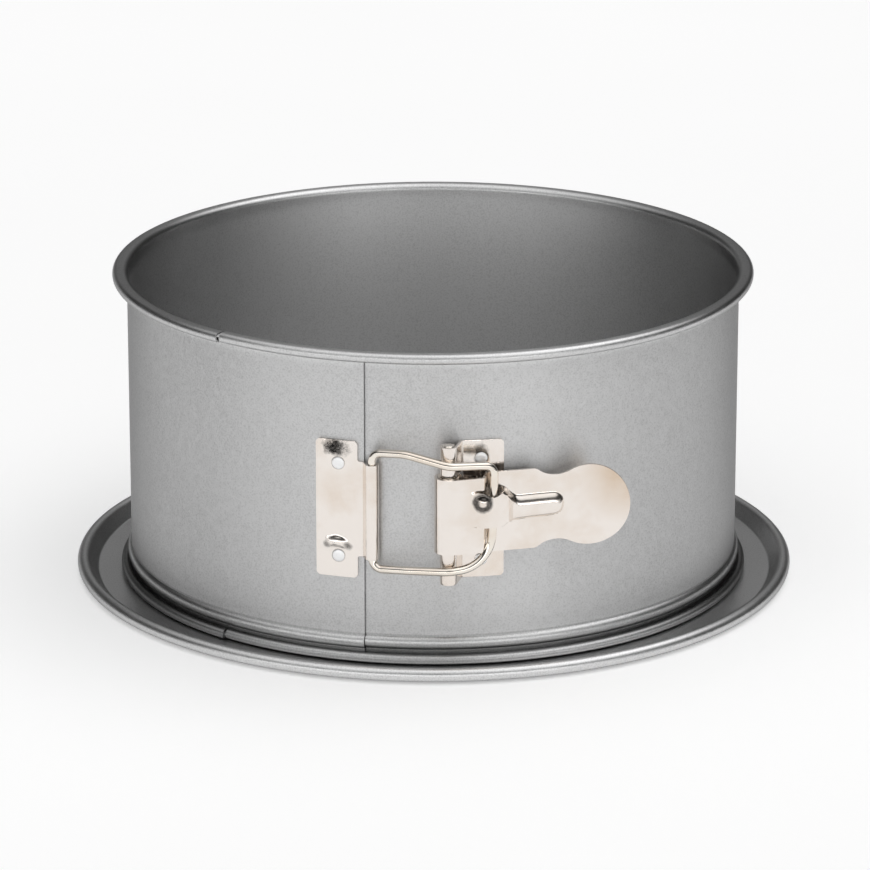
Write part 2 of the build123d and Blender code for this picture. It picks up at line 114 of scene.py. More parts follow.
class Sum(Enum):
    """Sum of one or two values."""

    PLUS = "ADD"
    MINUS = "SUBTRACT"
    TIMES = "MULTIPLY"
    LEAST = "MINIMUM"
    MOST = "MAXIMUM"
    SIZE = "ABSOLUTE"
    ARCSINE = "ARCSINE"
    HEADING = "ARCTAN2"


# Lines, sheets and round bodies


def outward(angle: float) -> Vector:
    """Direction away from the tin's axis.

    Args:
        angle: Front angle in degrees.

    Returns:
        Unit vector in the table's plane.
    """
    turn = math.radians(angle)
    return Vector((math.sin(turn), -math.cos(turn), 0.0))


def rightward(angle: float) -> Vector:
    """Direction along the wall, towards growing front angles.

    Args:
        angle: Front angle in degrees.

    Returns:
        Unit vector in the table's plane.
    """
    turn = math.radians(angle)
    return Vector((math.cos(turn), math.sin(turn), 0.0))


def on_circle(radius: float, angle: float, centre: Point = (0.0, 0.0)) -> Point:
    """Point on a circle.

    Args:
        radius: Circle's radius.
        angle: Place on the circle, in degrees from the x direction.
        centre: Circle's middle.

    Returns:
        The point's x and y.
    """
    turn = math.radians(angle)
    return (centre[0] + radius * math.cos(turn), centre[1] + radius * math.sin(turn))


def ease(share: float) -> float:
    """Smooth step from 0 to 1, held beyond both."""
    held = min(max(share, 0.0), 1.0)
    return held * held * (3 - 2 * held)


def crown(share: float) -> float:
    """Flank of a pressed shape: steep at its foot and level at its crest."""
    held = min(max(share, 0.0), 1.0)
    return held * (2 - held)


def along_line(line: Sequence[Point], x: float) -> float:
    """Height of a line of points at x, held beyond both of its ends."""
    return float(np.interp(x, [p[0] for p in line], [p[1] for p in line]))


@dataclass
class SheetPath:
    """One face of a bent sheet, laid out in a plane as runs and bends.

    Attributes:
        start: First point.
        heading: First direction, in degrees.
        legs: Length and turn in degrees of each run or bend, in order.
    """

    start: Point
    heading: float
    legs: list[Leg] = field(default_factory=list)

    def run(self, length: float) -> "SheetPath":
        """Add a straight run and return the path."""
        self.legs.append((length, 0.0))
        return self

    def bend(self, radius: float, turn: float) -> "SheetPath":
        """Add an arc, with a positive turn to the left, and return the path."""
        self.legs.append((radius * abs(math.radians(turn)), turn))
        return self

    def follow(self, corners: Sequence[Point], radius: float) -> "SheetPath":
        """Add runs through corners that are rounded.

        Args:
            corners: Points to go through; the path ends at the last one.
            radius: Radius of each rounded corner.

        Returns:
            The path.
        """
        here = self.at(self.length)[0]
        points = [here, *corners]
        spent = 0.0
        for before, corner, after in zip(points, points[1:], points[2:]):
            first = math.atan2(corner[1] - before[1], corner[0] - before[0])
            second = math.atan2(after[1] - corner[1], after[0] - corner[0])
            turn = math.remainder(second - first, math.tau)
            tangent = radius * math.tan(abs(turn) / 2)
            self.run(math.dist(before, corner) - spent - tangent)
            self.bend(radius, math.degrees(turn))
            spent = tangent
        return self.run(math.dist(points[-2], points[-1]) - spent)

    @property
    def length(self) -> float:
        """Whole length of the path."""
        return sum(length for length, _ in self.legs)

    def at(self, distance: float) -> tuple[Point, float]:
        """Place and heading at a distance along the path.

        Args:
            distance: Distance from the start.

        Returns:
            The point, and the heading in radians.
        """
        x, y = self.start
        heading = math.radians(self.heading)
        for index, (length, turn) in enumerate(self.legs):
            last = index == len(self.legs) - 1
            part = distance if last else min(distance, length)
            if abs(turn) < TINY or length < TINY:
                x += part * math.cos(heading)
                y += part * math.sin(heading)
            else:
                rate = math.radians(turn) / length
                x += (math.sin(heading + rate * part) - math.sin(heading)) / rate
                y -= (math.cos(heading + rate * part) - math.cos(heading)) / rate
                heading += rate * part
            distance -= part
            if distance <= TINY:
                break
        return (x, y), heading

    def off(self, distance: float, away: float) -> Point:
        """Point beside the path.

        Args:
            distance: Distance along the path.
            away: Distance to its left, or to its right if negative.

        Returns:
            The point.
        """
        (x, y), heading = self.at(distance)
        return (x - away * math.sin(heading), y + away * math.cos(heading))

    def stations(self, turn_step: float, run_step: float = FAR) -> list[float]:
        """Distances at which the path is sampled.

        Args:
            turn_step: Largest turn between two stations, in degrees.
            run_step: Largest distance between two stations.

        Returns:
            Distances in order, with both ends.
        """
        marks = [0.0]
        for length, turn in self.legs:
            count = max(1, math.ceil(abs(turn) / turn_step), math.ceil(length / run_step))
            first = marks[-1]
            marks += [first + length * (k + 1) / count for k in range(count)]
        return marks


def strip_section(path: SheetPath, sheet: float, side: int, turn_step: float) -> Loop:
    """Closed section of a sheet with rounded cut edges.

    Args:
        path: One face of the sheet.
        sheet: Thickness.
        side: 1 if the sheet lies left of the path, -1 if right.
        turn_step: Largest turn between two points, in degrees.

    Returns:
        Points in order round the section.
    """
    marks = path.stations(turn_step)
    near = [path.off(mark, 0.0) for mark in marks]
    far = [path.off(mark, side * sheet) for mark in marks]
    ends: list[Loop] = []
    for mark, back in ((marks[-1], 0.0), (marks[0], 180.0)):
        _, heading = path.at(mark)
        middle = path.off(mark, side * sheet / 2)
        ahead = math.degrees(heading) + back
        ends.append([on_circle(sheet / 2, ahead + side * angle, middle) for angle in EDGE_SWEEP])
    return near + ends[0] + far[::-1] + ends[1]


@dataclass(frozen=True)
class Stand:
    """Where a drawing stands in the tin, with its third direction up.

    Attributes:
        origin: Place of the drawing's zero point.
        across: Direction of the drawing's first axis.
        out: Direction of its second axis.
    """

    origin: Vector
    across: Vector
    out: Vector

    def place(self, x: float, y: float, height: float) -> Vector:
        """Point in millimetres for two drawing coordinates and a height."""
        return self.origin + self.across * x + self.out * y + UP * height


def finish_mesh(maker: bmesh.types.BMesh, name: str, sharp: float) -> bpy.types.Object:
    """Turn a bmesh into an object with smooth faces and crisp edges.

    Args:
        maker: Mesh being made, in metres. It is freed.
        name: Name of the new object.
        sharp: Angle in degrees above which an edge stays crisp.

    Returns:
        The new object, linked to the scene.
    """
    bmesh.ops.recalc_face_normals(maker, faces=maker.faces)
    for face in maker.faces:
        face.smooth = True
    mesh = bpy.data.meshes.new(name)
    maker.to_mesh(mesh)
    maker.free()
    mesh.set_sharp_from_angle(angle=math.radians(sharp))
    made = bpy.data.objects.new(name, mesh)
    bpy.context.scene.collection.objects.link(made)
    return made


def skin_rings(
    maker: bmesh.types.BMesh, rings: Sequence[Sequence[bmesh.types.BMVert]], closed: bool = False
) -> None:
    """Join neighbouring rings of points with faces.

    Args:
        maker: Mesh being made.
        rings: Rings in order, all with as many points, or with one at a tip.
        closed: Whether the last ring joins the first.
    """
    pairs = list(zip(rings, rings[1:]))
    if closed:
        pairs.append((rings[-1], rings[0]))
    size = max(len(ring) for ring in rings)
    for one, two in pairs:
        for k in range(size):
            spots = ((one, k), (one, k + 1), (two, k + 1), (two, k))
            corners = list(dict.fromkeys(ring[n % len(ring)] for ring, n in spots))
            if len(corners) > 2:
                maker.faces.new(corners)


def round_ring(
    maker: bmesh.types.BMesh, middle: Vector, arms: tuple[Vector, Vector], radius: float, sides: int
) -> list[bmesh.types.BMVert]:
    """Add the points of a circle to a mesh.

    Args:
        maker: Mesh being made.
        middle: Circle's middle, in millimetres.
        arms: Directions of its first point and of the one a quarter turn on.
        radius: Its radius; 0 gives a single point.
        sides: Number of points.

    Returns:
        The new points, in order.
    """
    if radius < TINY:
        return [maker.verts.new(middle * METRES)]
    ring = []
    for k in range(sides):
        turn = math.tau * k / sides
        ahead, aside = radius * math.cos(turn), radius * math.sin(turn)
        ring.append(maker.verts.new((middle + arms[0] * ahead + arms[1] * aside) * METRES))
    return ring


def revolve_section(
    name: str, section: Loop, axis_y: float, start: float, end: float, step: float
) -> bpy.types.Object:
    """Sweep a closed section round an upright axis.

    Args:
        name: Name of the new object.
        section: Radius and height of each point.
        axis_y: Y of the axis, which stands at x = 0.
        start: First front angle.
        end: Last front angle; a full turn makes a closed ring.
        step: Largest angle between two sections.

    Returns:
        The new object.
    """
    closed = abs(abs(end - start) - 360.0) < TINY
    count = math.ceil(abs(end - start) / step)
    maker = bmesh.new()
    rings = []
    for k in range(count if closed else count + 1):
        out = outward(start + (end - start) * k / count)
        points = [(out.x * r, out.y * r + axis_y, z) for r, z in section]
        rings.append([maker.verts.new([value * METRES for value in point]) for point in points])
    skin_rings(maker, rings, closed)
    if not closed:
        caps = [maker.faces.new(rings[0]), maker.faces.new(rings[-1][::-1])]
        maker.normal_update()
        bmesh.ops.triangulate(maker, faces=caps, ngon_method="EAR_CLIP")
    made = finish_mesh(maker, name, sharp=35.0)
    levels = made.data.attributes.new(REST_HEIGHT, "FLOAT", "POINT")
    levels.data.foreach_set("value", [vertex.co.z for vertex in made.data.vertices])
    return made


def spin_profile(
    name: str, profile: Loop, foot: Vector, axis: Vector, sides: int = 40
) -> bpy.types.Object:
    """Turn a profile about any axis into a closed body.

    Args:
        name: Name of the new object.
        profile: Radius and height points; the first and last lie on the axis.
        foot: Place of height zero, in millimetres.
        axis: Direction of the axis.
        sides: Number of sides.

    Returns:
        The new object.
    """
    first = axis.orthogonal().normalized()
    arms = (first, axis.cross(first).normalized())
    maker = bmesh.new()
    rings = [round_ring(maker, foot + axis * z, arms, r, sides) for r, z in profile]
    skin_rings(maker, rings)
    return finish_mesh(maker, name, sharp=32.0)


def rounded_line(points: Sequence[Vector], radii: Sequence[float], step: float) -> list[Vector]:
    """Sample a bent wire's middle line.

    Args:
        points: Ends and corners, in order.
        radii: Bend radius at each corner.
        step: Largest turn between two samples, in degrees.

    Returns:
        Points along the line.
    """
    line = [points[0].copy()]
    for before, corner, after, radius in zip(points, points[1:], points[2:], radii):
        back = (before - corner).normalized()
        ahead = (after - corner).normalized()
        turn = math.pi - back.angle(ahead)
        tangent = radius * math.tan(turn / 2)
        middle = corner + (back + ahead).normalized() * (radius / math.cos(turn / 2))
        first = corner + back * tangent - middle
        last = corner + ahead * tangent - middle
        count = max(2, math.ceil(math.degrees(turn) / step))
        line += [middle + first.slerp(last, k / count) * radius for k in range(count + 1)]
    line.append(points[-1].copy())
    return line


def tube(name: str, line: Sequence[Vector], radius: float, sides: int = 32) -> bpy.types.Object:
    """Round wire along a line, with closed ends.

    Args:
        name: Name of the new object.
        line: Middle line, in millimetres.
        radius: Wire's radius.
        sides: Number of sides.

    Returns:
        The new object.
    """
    maker = bmesh.new()
    rings = []
    side = (line[1] - line[0]).normalized().orthogonal().normalized()
    for k, point in enumerate(line):
        ahead = (line[min(k + 1, len(line) - 1)] - line[max(k - 1, 0)]).normalized()
        side = (side - ahead * side.dot(ahead)).normalized()
        rings.append(round_ring(maker, point, (side, ahead.cross(side)), radius, sides))
    skin_rings(maker, rings)
    maker.faces.new(rings[0][::-1])
    maker.faces.new(rings[-1])
    return finish_mesh(maker, name, sharp=40.0)


def rounded_loop(corners: Sequence[tuple[float, float, float]], step: float = 10.0) -> Loop:
    """Closed outline with rounded corners.

    Args:
        corners: X, y and radius of each corner, in order.
        step: Largest turn between two points, in degrees.

    Returns:
        Points round the outline.
    """
    loop: Loop = []
    size = len(corners)
    for k in range(size):
        before, (x, y, radius), after = corners[k - 1], corners[k], corners[(k + 1) % size]
        if radius <= 0:
            loop.append((x, y))
            continue
        corner = Vector((x, y))
        back = (Vector(before[:2]) - corner).normalized()
        ahead = (Vector(after[:2]) - corner).normalized()
        turn = math.pi - back.angle(ahead)
        middle = corner + (back + ahead).normalized() * (radius / math.cos(turn / 2))
        first = corner + back * (radius * math.tan(turn / 2)) - middle
        last = corner + ahead * (radius * math.tan(turn / 2)) - middle
        count = max(2, math.ceil(math.degrees(turn) / step))
        for n in range(count + 1):
            arm = first.lerp(last, n / count).normalized() * radius
            loop.append((middle.x + arm.x, middle.y + arm.y))
    return loop


def inside(points: np.ndarray, loops: Sequence[Loop]) -> tuple[np.ndarray, np.ndarray]:
    """Which points lie in an outline with holes, and how far from its edges.

    Args:
        points: Array of x and y rows.
        loops: Outline and holes.

    Returns:
        Truth of each point, and its distance to the nearest edge.
    """
    odd = np.zeros(len(points), bool)
    near = np.full(len(points), FAR)
    px, py = points[:, :1], points[:, 1:]
    for loop in loops:
        one = np.array(loop)
        two = np.roll(one, -1, axis=0)
        span = two - one
        crosses = (one[:, 1] > py) != (two[:, 1] > py)
        rise = np.where(np.abs(span[:, 1]) < TINY, TINY, span[:, 1])
        at_x = one[:, 0] + (py - one[:, 1]) * span[:, 0] / rise
        odd ^= ((crosses & (px < at_x)).sum(1) % 2).astype(bool)
        size = np.maximum((span**2).sum(1), TINY)
        share = ((px - one[:, 0]) * span[:, 0] + (py - one[:, 1]) * span[:, 1]) / size
        share = np.clip(share, 0, 1)
        gap = np.hypot(px - one[:, 0] - share * span[:, 0], py - one[:, 1] - share * span[:, 1])
        near = np.minimum(near, gap.min(1))
    return odd, near


@dataclass
class Blank:
    """A flat sheet outline that is cut and bent to its shape.

    Attributes:
        name: Name of the finished piece.
        stand: Where the bent section stands.
        path: Bent face of the sheet, which the outline's first axis follows.
        sheet: Thickness.
        side: 1 if the sheet lies left of the path, -1 if right.
        loops: Outline and holes: distance along the path, and height.
        pitch: Largest distance between mesh points.
        turn_step: Largest turn between mesh points, in degrees.
        press: Moves a point of the bent section, for pressed shapes.
        edge_round: Rounding of the cut edges.
        edge_angle: Least angle of an edge that is rounded, in degrees.
        line_gap: Least distance between two lines of mesh points.
        cut_gap: Least distance between two points of an outline.
        edge_clear: Room between an outline and the points inside it, in pitches.
        same_point: Distance under which two flat points are one.
    """

    name: str
    stand: Stand
    path: SheetPath
    sheet: float
    side: int
    loops: list[Loop]
    pitch: float = 1.2
    turn_step: float = 8.0
    press: Callable[[Point, float, float], Point] | None = None
    edge_round: float = 0.14
    edge_angle: float = 60.0
    line_gap: float = 0.06
    cut_gap: float = 0.05
    edge_clear: float = 0.3
    same_point: float = 1e-7

    def _marks(self) -> list[float]:
        """Distances along the path at which the mesh has lines of points.

        Returns:
            Distances in order, from zero.
        """
        kept = [0.0]
        for mark in self.path.stations(self.turn_step, self.pitch):
            if mark - kept[-1] > self.line_gap:
                kept.append(mark)
        return kept

    def _split(self, loop: Loop, marks: Sequence[float]) -> Loop:
        """Add points to an outline wherever it crosses a line of the mesh.

        Args:
            loop: Outline or hole.
            marks: Distances of the mesh's lines along the path.

        Returns:
            The finer outline.
        """
        fine: Loop = []
        for (x0, y0), (x1, y1) in zip(loop, loop[1:] + loop[:1]):
            span = math.hypot(x1 - x0, y1 - y0)
            count = max(1, math.ceil(span / self.pitch))
            cuts = {k / count for k in range(count)}
            if abs(x1 - x0) > TINY:
                cuts |= {(mark - x0) / (x1 - x0) for mark in marks}
            last = -FAR
            for cut in sorted(cut for cut in cuts if 0.0 <= cut < 1.0):
                roomy = (cut - last) * span > self.cut_gap and (1.0 - cut) * span > self.cut_gap
                if last < 0 or roomy:
                    fine.append((x0 + (x1 - x0) * cut, y0 + (y1 - y0) * cut))
                    last = cut
        return fine

    def _place(self, along: float, height: float, share: float) -> Vector:
        """Point of the bent and pressed sheet.

        Args:
            along: Distance along the path.
            height: Height of the point.
            share: Place in the sheet: 0 on the path and 1 on the far face.

        Returns:
            The point, in millimetres.
        """
        x, y = self.path.off(along, self.side * self.sheet * share)
        if self.press:
            x, y = self.press((x, y), along, height)
        return self.stand.place(x, y, height)

    def _triangles(self) -> tuple[list[Vector], list[list[int]]]:
        """Fill the flat outline with triangles.

        Returns:
            Points of the flat sheet, and the three point numbers of each triangle.
        """
        marks = self._marks()
        loops = [self._split(loop, marks) for loop in self.loops]
        heights = [height for _, height in loops[0]]
        rows = np.arange(min(heights) + self.pitch / 2, max(heights), self.pitch)
        grid = np.array([(mark, row) for mark in marks for row in rows])
        odd, near = inside(grid, loops)
        grid = grid[odd & (near > self.edge_clear * self.pitch)]
        edges: list[tuple[int, int]] = []
        for loop in loops:
            first, size = len(edges), len(loop)
            edges += [(first + k, first + (k + 1) % size) for k in range(size)]
        flat = [Vector(point) for loop in [*loops, grid] for point in loop]
        points, _, triangles, *_ = delaunay_2d_cdt(flat, edges, [], 0, self.same_point)
        middles = np.array([[sum(points[n][a] for n in t) / 3 for a in (0, 1)] for t in triangles])
        odd, _ = inside(middles, loops)
        return points, [triangle for triangle, good in zip(triangles, odd) if good]

    def build(self) -> bpy.types.Object:
        """Cut, bend and thicken the sheet.

        Returns:
            The finished piece.
        """
        points, triangles = self._triangles()
        used = sorted({n for triangle in triangles for n in triangle})
        maker = bmesh.new()
        low, high = (
            {n: maker.verts.new(self._place(*points[n], share) * METRES) for n in used}
            for share in (0.0, 1.0)
        )
        open_edges: set[tuple[int, int]] = set()
        for a, b, c in triangles:
            maker.faces.new((low[a], low[b], low[c]))
            maker.faces.new((high[c], high[b], high[a]))
            for edge in ((a, b), (b, c), (c, a)):
                if edge[::-1] in open_edges:
                    open_edges.remove(edge[::-1])
                else:
                    open_edges.add(edge)
        for a, b in sorted(open_edges):
            maker.faces.new((low[b], low[a], high[a], high[b]))
        bmesh.ops.recalc_face_normals(maker, faces=maker.faces)
        bmesh.ops.bevel(
            maker,
            geom=[
                edge
                for edge in maker.edges
                if len(edge.link_faces) == 2
                and edge.calc_face_angle(0.0) > math.radians(self.edge_angle)
            ],
            offset=self.edge_round * METRES,
            offset_type="OFFSET",
            segments=2,
            profile=0.5,
            affect="EDGES",
            clamp_overlap=True,
        )
        return finish_mesh(maker, self.name, sharp=40.0)


# Finishes


def grey(level: float) -> tuple[float, float, float, float]:
    """Opaque grey of one level."""
    return (level, level, level, 1.0)


@dataclass(frozen=True)
class NodeBench:
    """A node tree, with short ways to add and join nodes.

    Attributes:
        tree: Tree of a material or of the world.
    """

    tree: bpy.types.NodeTree

    @classmethod
    def emptied(cls, owner: bpy.types.Material | bpy.types.World) -> "NodeBench":
        """Clear the tree of a material or world.

        Args:
            owner: What the tree belongs to.

        Returns:
            A bench on the empty tree.
        """
        owner.use_nodes = True
        owner.node_tree.nodes.clear()
        return cls(owner.node_tree)

    def add(
        self, kind: str, inputs: dict[str | int, object] | None = None, **settings: object
    ) -> bpy.types.Node:
        """Add a node.

        Args:
            kind: Node type.
            inputs: Value of each input, or the output that it is joined to.
            settings: Properties by name.

        Returns:
            The node.
        """
        node = self.tree.nodes.new(kind)
        for name, value in settings.items():
            setattr(node, name, value)
        for key, value in (inputs or {}).items():
            if isinstance(value, bpy.types.NodeSocket):
                self.tree.links.new(value, node.inputs[key])
            else:
                node.inputs[key].default_value = value
        return node

    def place(self, stretch: tuple[float, float, float] = (1.0, 1.0, 1.0)) -> Socket:
        """Object coordinates in metres, stretched along each axis."""
        plain = self.add("ShaderNodeTexCoord").outputs["Object"]
        return self.add("ShaderNodeMapping", {"Vector": plain, "Scale": stretch}).outputs["Vector"]

    def round_lines(self) -> Socket:
        """Direction of the rolling lines, which run round the tin's axis.

        Returns:
            The direction in the world.
        """
        around = self.add(
            "ShaderNodeVectorMath", {0: UP, 1: self.place()}, operation="CROSS_PRODUCT"
        )
        turned = self.add(
            "ShaderNodeVectorTransform",
            {"Vector": around.outputs["Vector"]},
            vector_type="VECTOR",
            convert_from="OBJECT",
            convert_to="WORLD",
        )
        return turned.outputs["Vector"]

    def noise(self, place: Socket, scale: float, detail: float = 2.0, rough: float = 0.5) -> Socket:
        """Noise value at a place, with a scale per metre."""
        inputs = {"Vector": place, "Scale": scale, "Detail": detail, "Roughness": rough}
        return self.add("ShaderNodeTexNoise", inputs).outputs["Fac"]

    def spread(
        self, value: Socket, low: float, high: float, start: float = 0.3, end: float = 0.7
    ) -> Socket:
        """Map a value from start and end to low and high, and hold it beyond both."""
        inputs = {"Value": value, "From Min": start, "From Max": end, "To Min": low, "To Max": high}
        return self.add("ShaderNodeMapRange", inputs).outputs["Result"]

    def maths(self, how: Sum, one: Socket, two: Socket | float = 0.0) -> Socket:
        """Value of a sum of one or two values."""
        return self.add("ShaderNodeMath", {0: one, 1: two}, operation=how.value).outputs["Value"]

    def mix(
        self,
        one: Socket | Sequence[float],
        two: Socket | Sequence[float],
        share: Socket | float,
        how: Layer = Layer.OVER,
    ) -> Socket:
        """Colour between two, or of one laid on the other.

        Args:
            one: First colour.
            two: Second colour.
            share: Share of the second one.
            how: Way of mixing them.

        Returns:
            The mixed colour.
        """
        inputs = {"Factor": share, "A": one, "B": two}
        node = self.add("ShaderNodeMix", inputs, data_type="RGBA", blend_type=how.value)
        return node.outputs["Result"]

    def ramp(self, value: Socket, stops: Sequence[Point]) -> Socket:
        """Grey that follows a value from 0 to 1.

        Args:
            value: Place on the ramp.
            stops: Place and level of each stop, in order.

        Returns:
            The grey, as a colour.
        """
        node = self.add("ShaderNodeValToRGB", {"Fac": value})
        elements = node.color_ramp.elements
        while len(elements) < len(stops):
            elements.new(0.5)
        for k, (place, level) in enumerate(stops):
            elements[k].position = place
            elements[k].color = grey(level)
        return node.outputs["Color"]

    def bump(
        self, height: Socket, strength: float, depth: float, under: Socket | None = None
    ) -> Socket:
        """Bumped normal from a height.

        Args:
            height: Height from 0 to 1.
            strength: Strength of the bump.
            depth: Metres for a height of 1.
            under: Normal that it lies over, if not the plain one.

        Returns:
            The normal.
        """
        inputs = {"Strength": strength, "Distance": depth, "Height": height}
        if under:
            inputs["Normal"] = under
        return self.add("ShaderNodeBump", inputs).outputs["Normal"]

    def metal(self, inputs: dict[str | int, object]) -> None:
        """Join a metal to the material's output.

        Args:
            inputs: Value of each input of its shader, or the output that it is joined to.
        """
        shader = self.add("ShaderNodeBsdfPrincipled", {"Metallic": 1.0, **inputs})
        self.add("ShaderNodeOutputMaterial", {"Surface": shader.outputs["BSDF"]})


@dataclass(frozen=True)
class Finish(ABC):
    """A material that is made once, by its name.

    Attributes:
        name: Material's name.
    """

    name: str

    def material(self) -> bpy.types.Material:
        """Give the material, and make it on first use.

        Returns:
            The node material.
        """
        made = bpy.data.materials.get(self.name)
        if made is None:
            made = bpy.data.materials.new(self.name)
            self.lay_out(NodeBench.emptied(made))
        return made

    @abstractmethod
    def lay_out(self, bench: NodeBench) -> None:
        """Add and join the material's nodes.

        Args:
            bench: Its empty tree.
        """


@dataclass(frozen=True)
class TinnedSteel(Finish):
    """Matt tinned steel sheet with a fine, slightly sparkling grain.

    Attributes:
        shade: Grey of the metal.
        gloss_low: Lowest roughness.
        gloss_high: Highest roughness.
        grain: Strength of the grain's bump.
        slant: Share of light sent back at a slanting sight.
        rolled: How much wider the sheen spreads across the rolling lines.
        smooth_low: Height in metres below which the sheet is worked smoother.
        smooth_high: Height above which it is.
        smooth_fade: Height over which that fades.
        smoother: Roughness there, as a share of the plain wall's.
        creases: Height in metres, reach and darkness of each band of painted shade along a crease.
        crease_core: Share of a crease's reach at which it is darkest.
        under_grain: Coarser bump under the grain, as a share of it.
    """

    shade: float = 0.65
    gloss_low: float = 0.42
    gloss_high: float = 0.52
    grain: float = 0.35
    slant: float = 0.4
    rolled: float = 0.75
    smooth_low: float = 0.014
    smooth_high: float = 0.117
    smooth_fade: float = 0.003
    smoother: float = 0.66
    creases: tuple[tuple[float, float, float], ...] = ()
    crease_core: float = 0.4
    under_grain: float = 0.6

    def lay_out(self, bench: NodeBench) -> None:
        """Add and join the material's nodes.

        Args:
            bench: Its empty tree.
        """
        place = bench.place()
        fine = bench.noise(place, scale=1500.0, detail=2.0, rough=0.6)
        middle = bench.noise(place, scale=520.0, detail=3.0, rough=0.55)
        broad = bench.noise(place, scale=22.0, detail=3.0, rough=0.5)
        sparkle = bench.spread(fine, low=0.83, high=1.12)
        speck = bench.maths(Sum.TIMES, sparkle, bench.spread(broad, low=0.96, high=1.02))
        height = bench.add("ShaderNodeAttribute", attribute_name=REST_HEIGHT).outputs["Fac"]
        # Painted shade: the base colour is darkened in a band round each crease height.
        for level, reach, depth in self.creases:
            away = bench.maths(Sum.SIZE, bench.maths(Sum.MINUS, height, level))
            crease_shade = bench.spread(away, 1.0 - depth, 1.0, reach * self.crease_core, reach)
            speck = bench.maths(Sum.TIMES, speck, crease_shade)
        gloss = bench.spread(middle, self.gloss_low, self.gloss_high)
        start, end = self.smooth_low - self.smooth_fade, self.smooth_high + self.smooth_fade
        low = bench.spread(height, self.smoother, 1.0, start, self.smooth_low)
        high = bench.spread(height, 1.0, self.smoother, self.smooth_high, end)
        under = bench.bump(middle, self.grain * self.under_grain, depth=0.00012)
        bench.metal(
            {
                "Base Color": bench.mix(grey(0.0), grey(self.shade), speck),
                "Roughness": bench.maths(Sum.TIMES, gloss, bench.maths(Sum.LEAST, low, high)),
                "Normal": bench.bump(fine, self.grain, depth=0.00005, under=under),
                "Specular Tint": grey(self.slant),
                "Anisotropic": self.rolled,
                "Anisotropic Rotation": 0.25,
                "Tangent": bench.round_lines(),
            }
        )


@dataclass(frozen=True)
class ShadeMark:
    """A spot of painted shade on a plate: its base colour is darkened.

    Attributes:
        place: Middle of the spot, in millimetres: in its plate's drawing, or in the tin.
        core: Radius inside which it is darkest.
        outer: Radius at which it has gone.
        depth: Share of light that it takes away.
        clear: Radius of its bright middle, or 0.
        clear_fade: Shares of that radius between which the middle turns dark.
        speckle: How much fine grain breaks it up.
        wander: How far its edge strays, in millimetres.
    """

    place: Sequence[float]
    core: float
    outer: float
    depth: float
    clear: float = 0.0
    clear_fade: Point = (0.7, 1.2)
    speckle: float = 0.3
    wander: float = 0.9


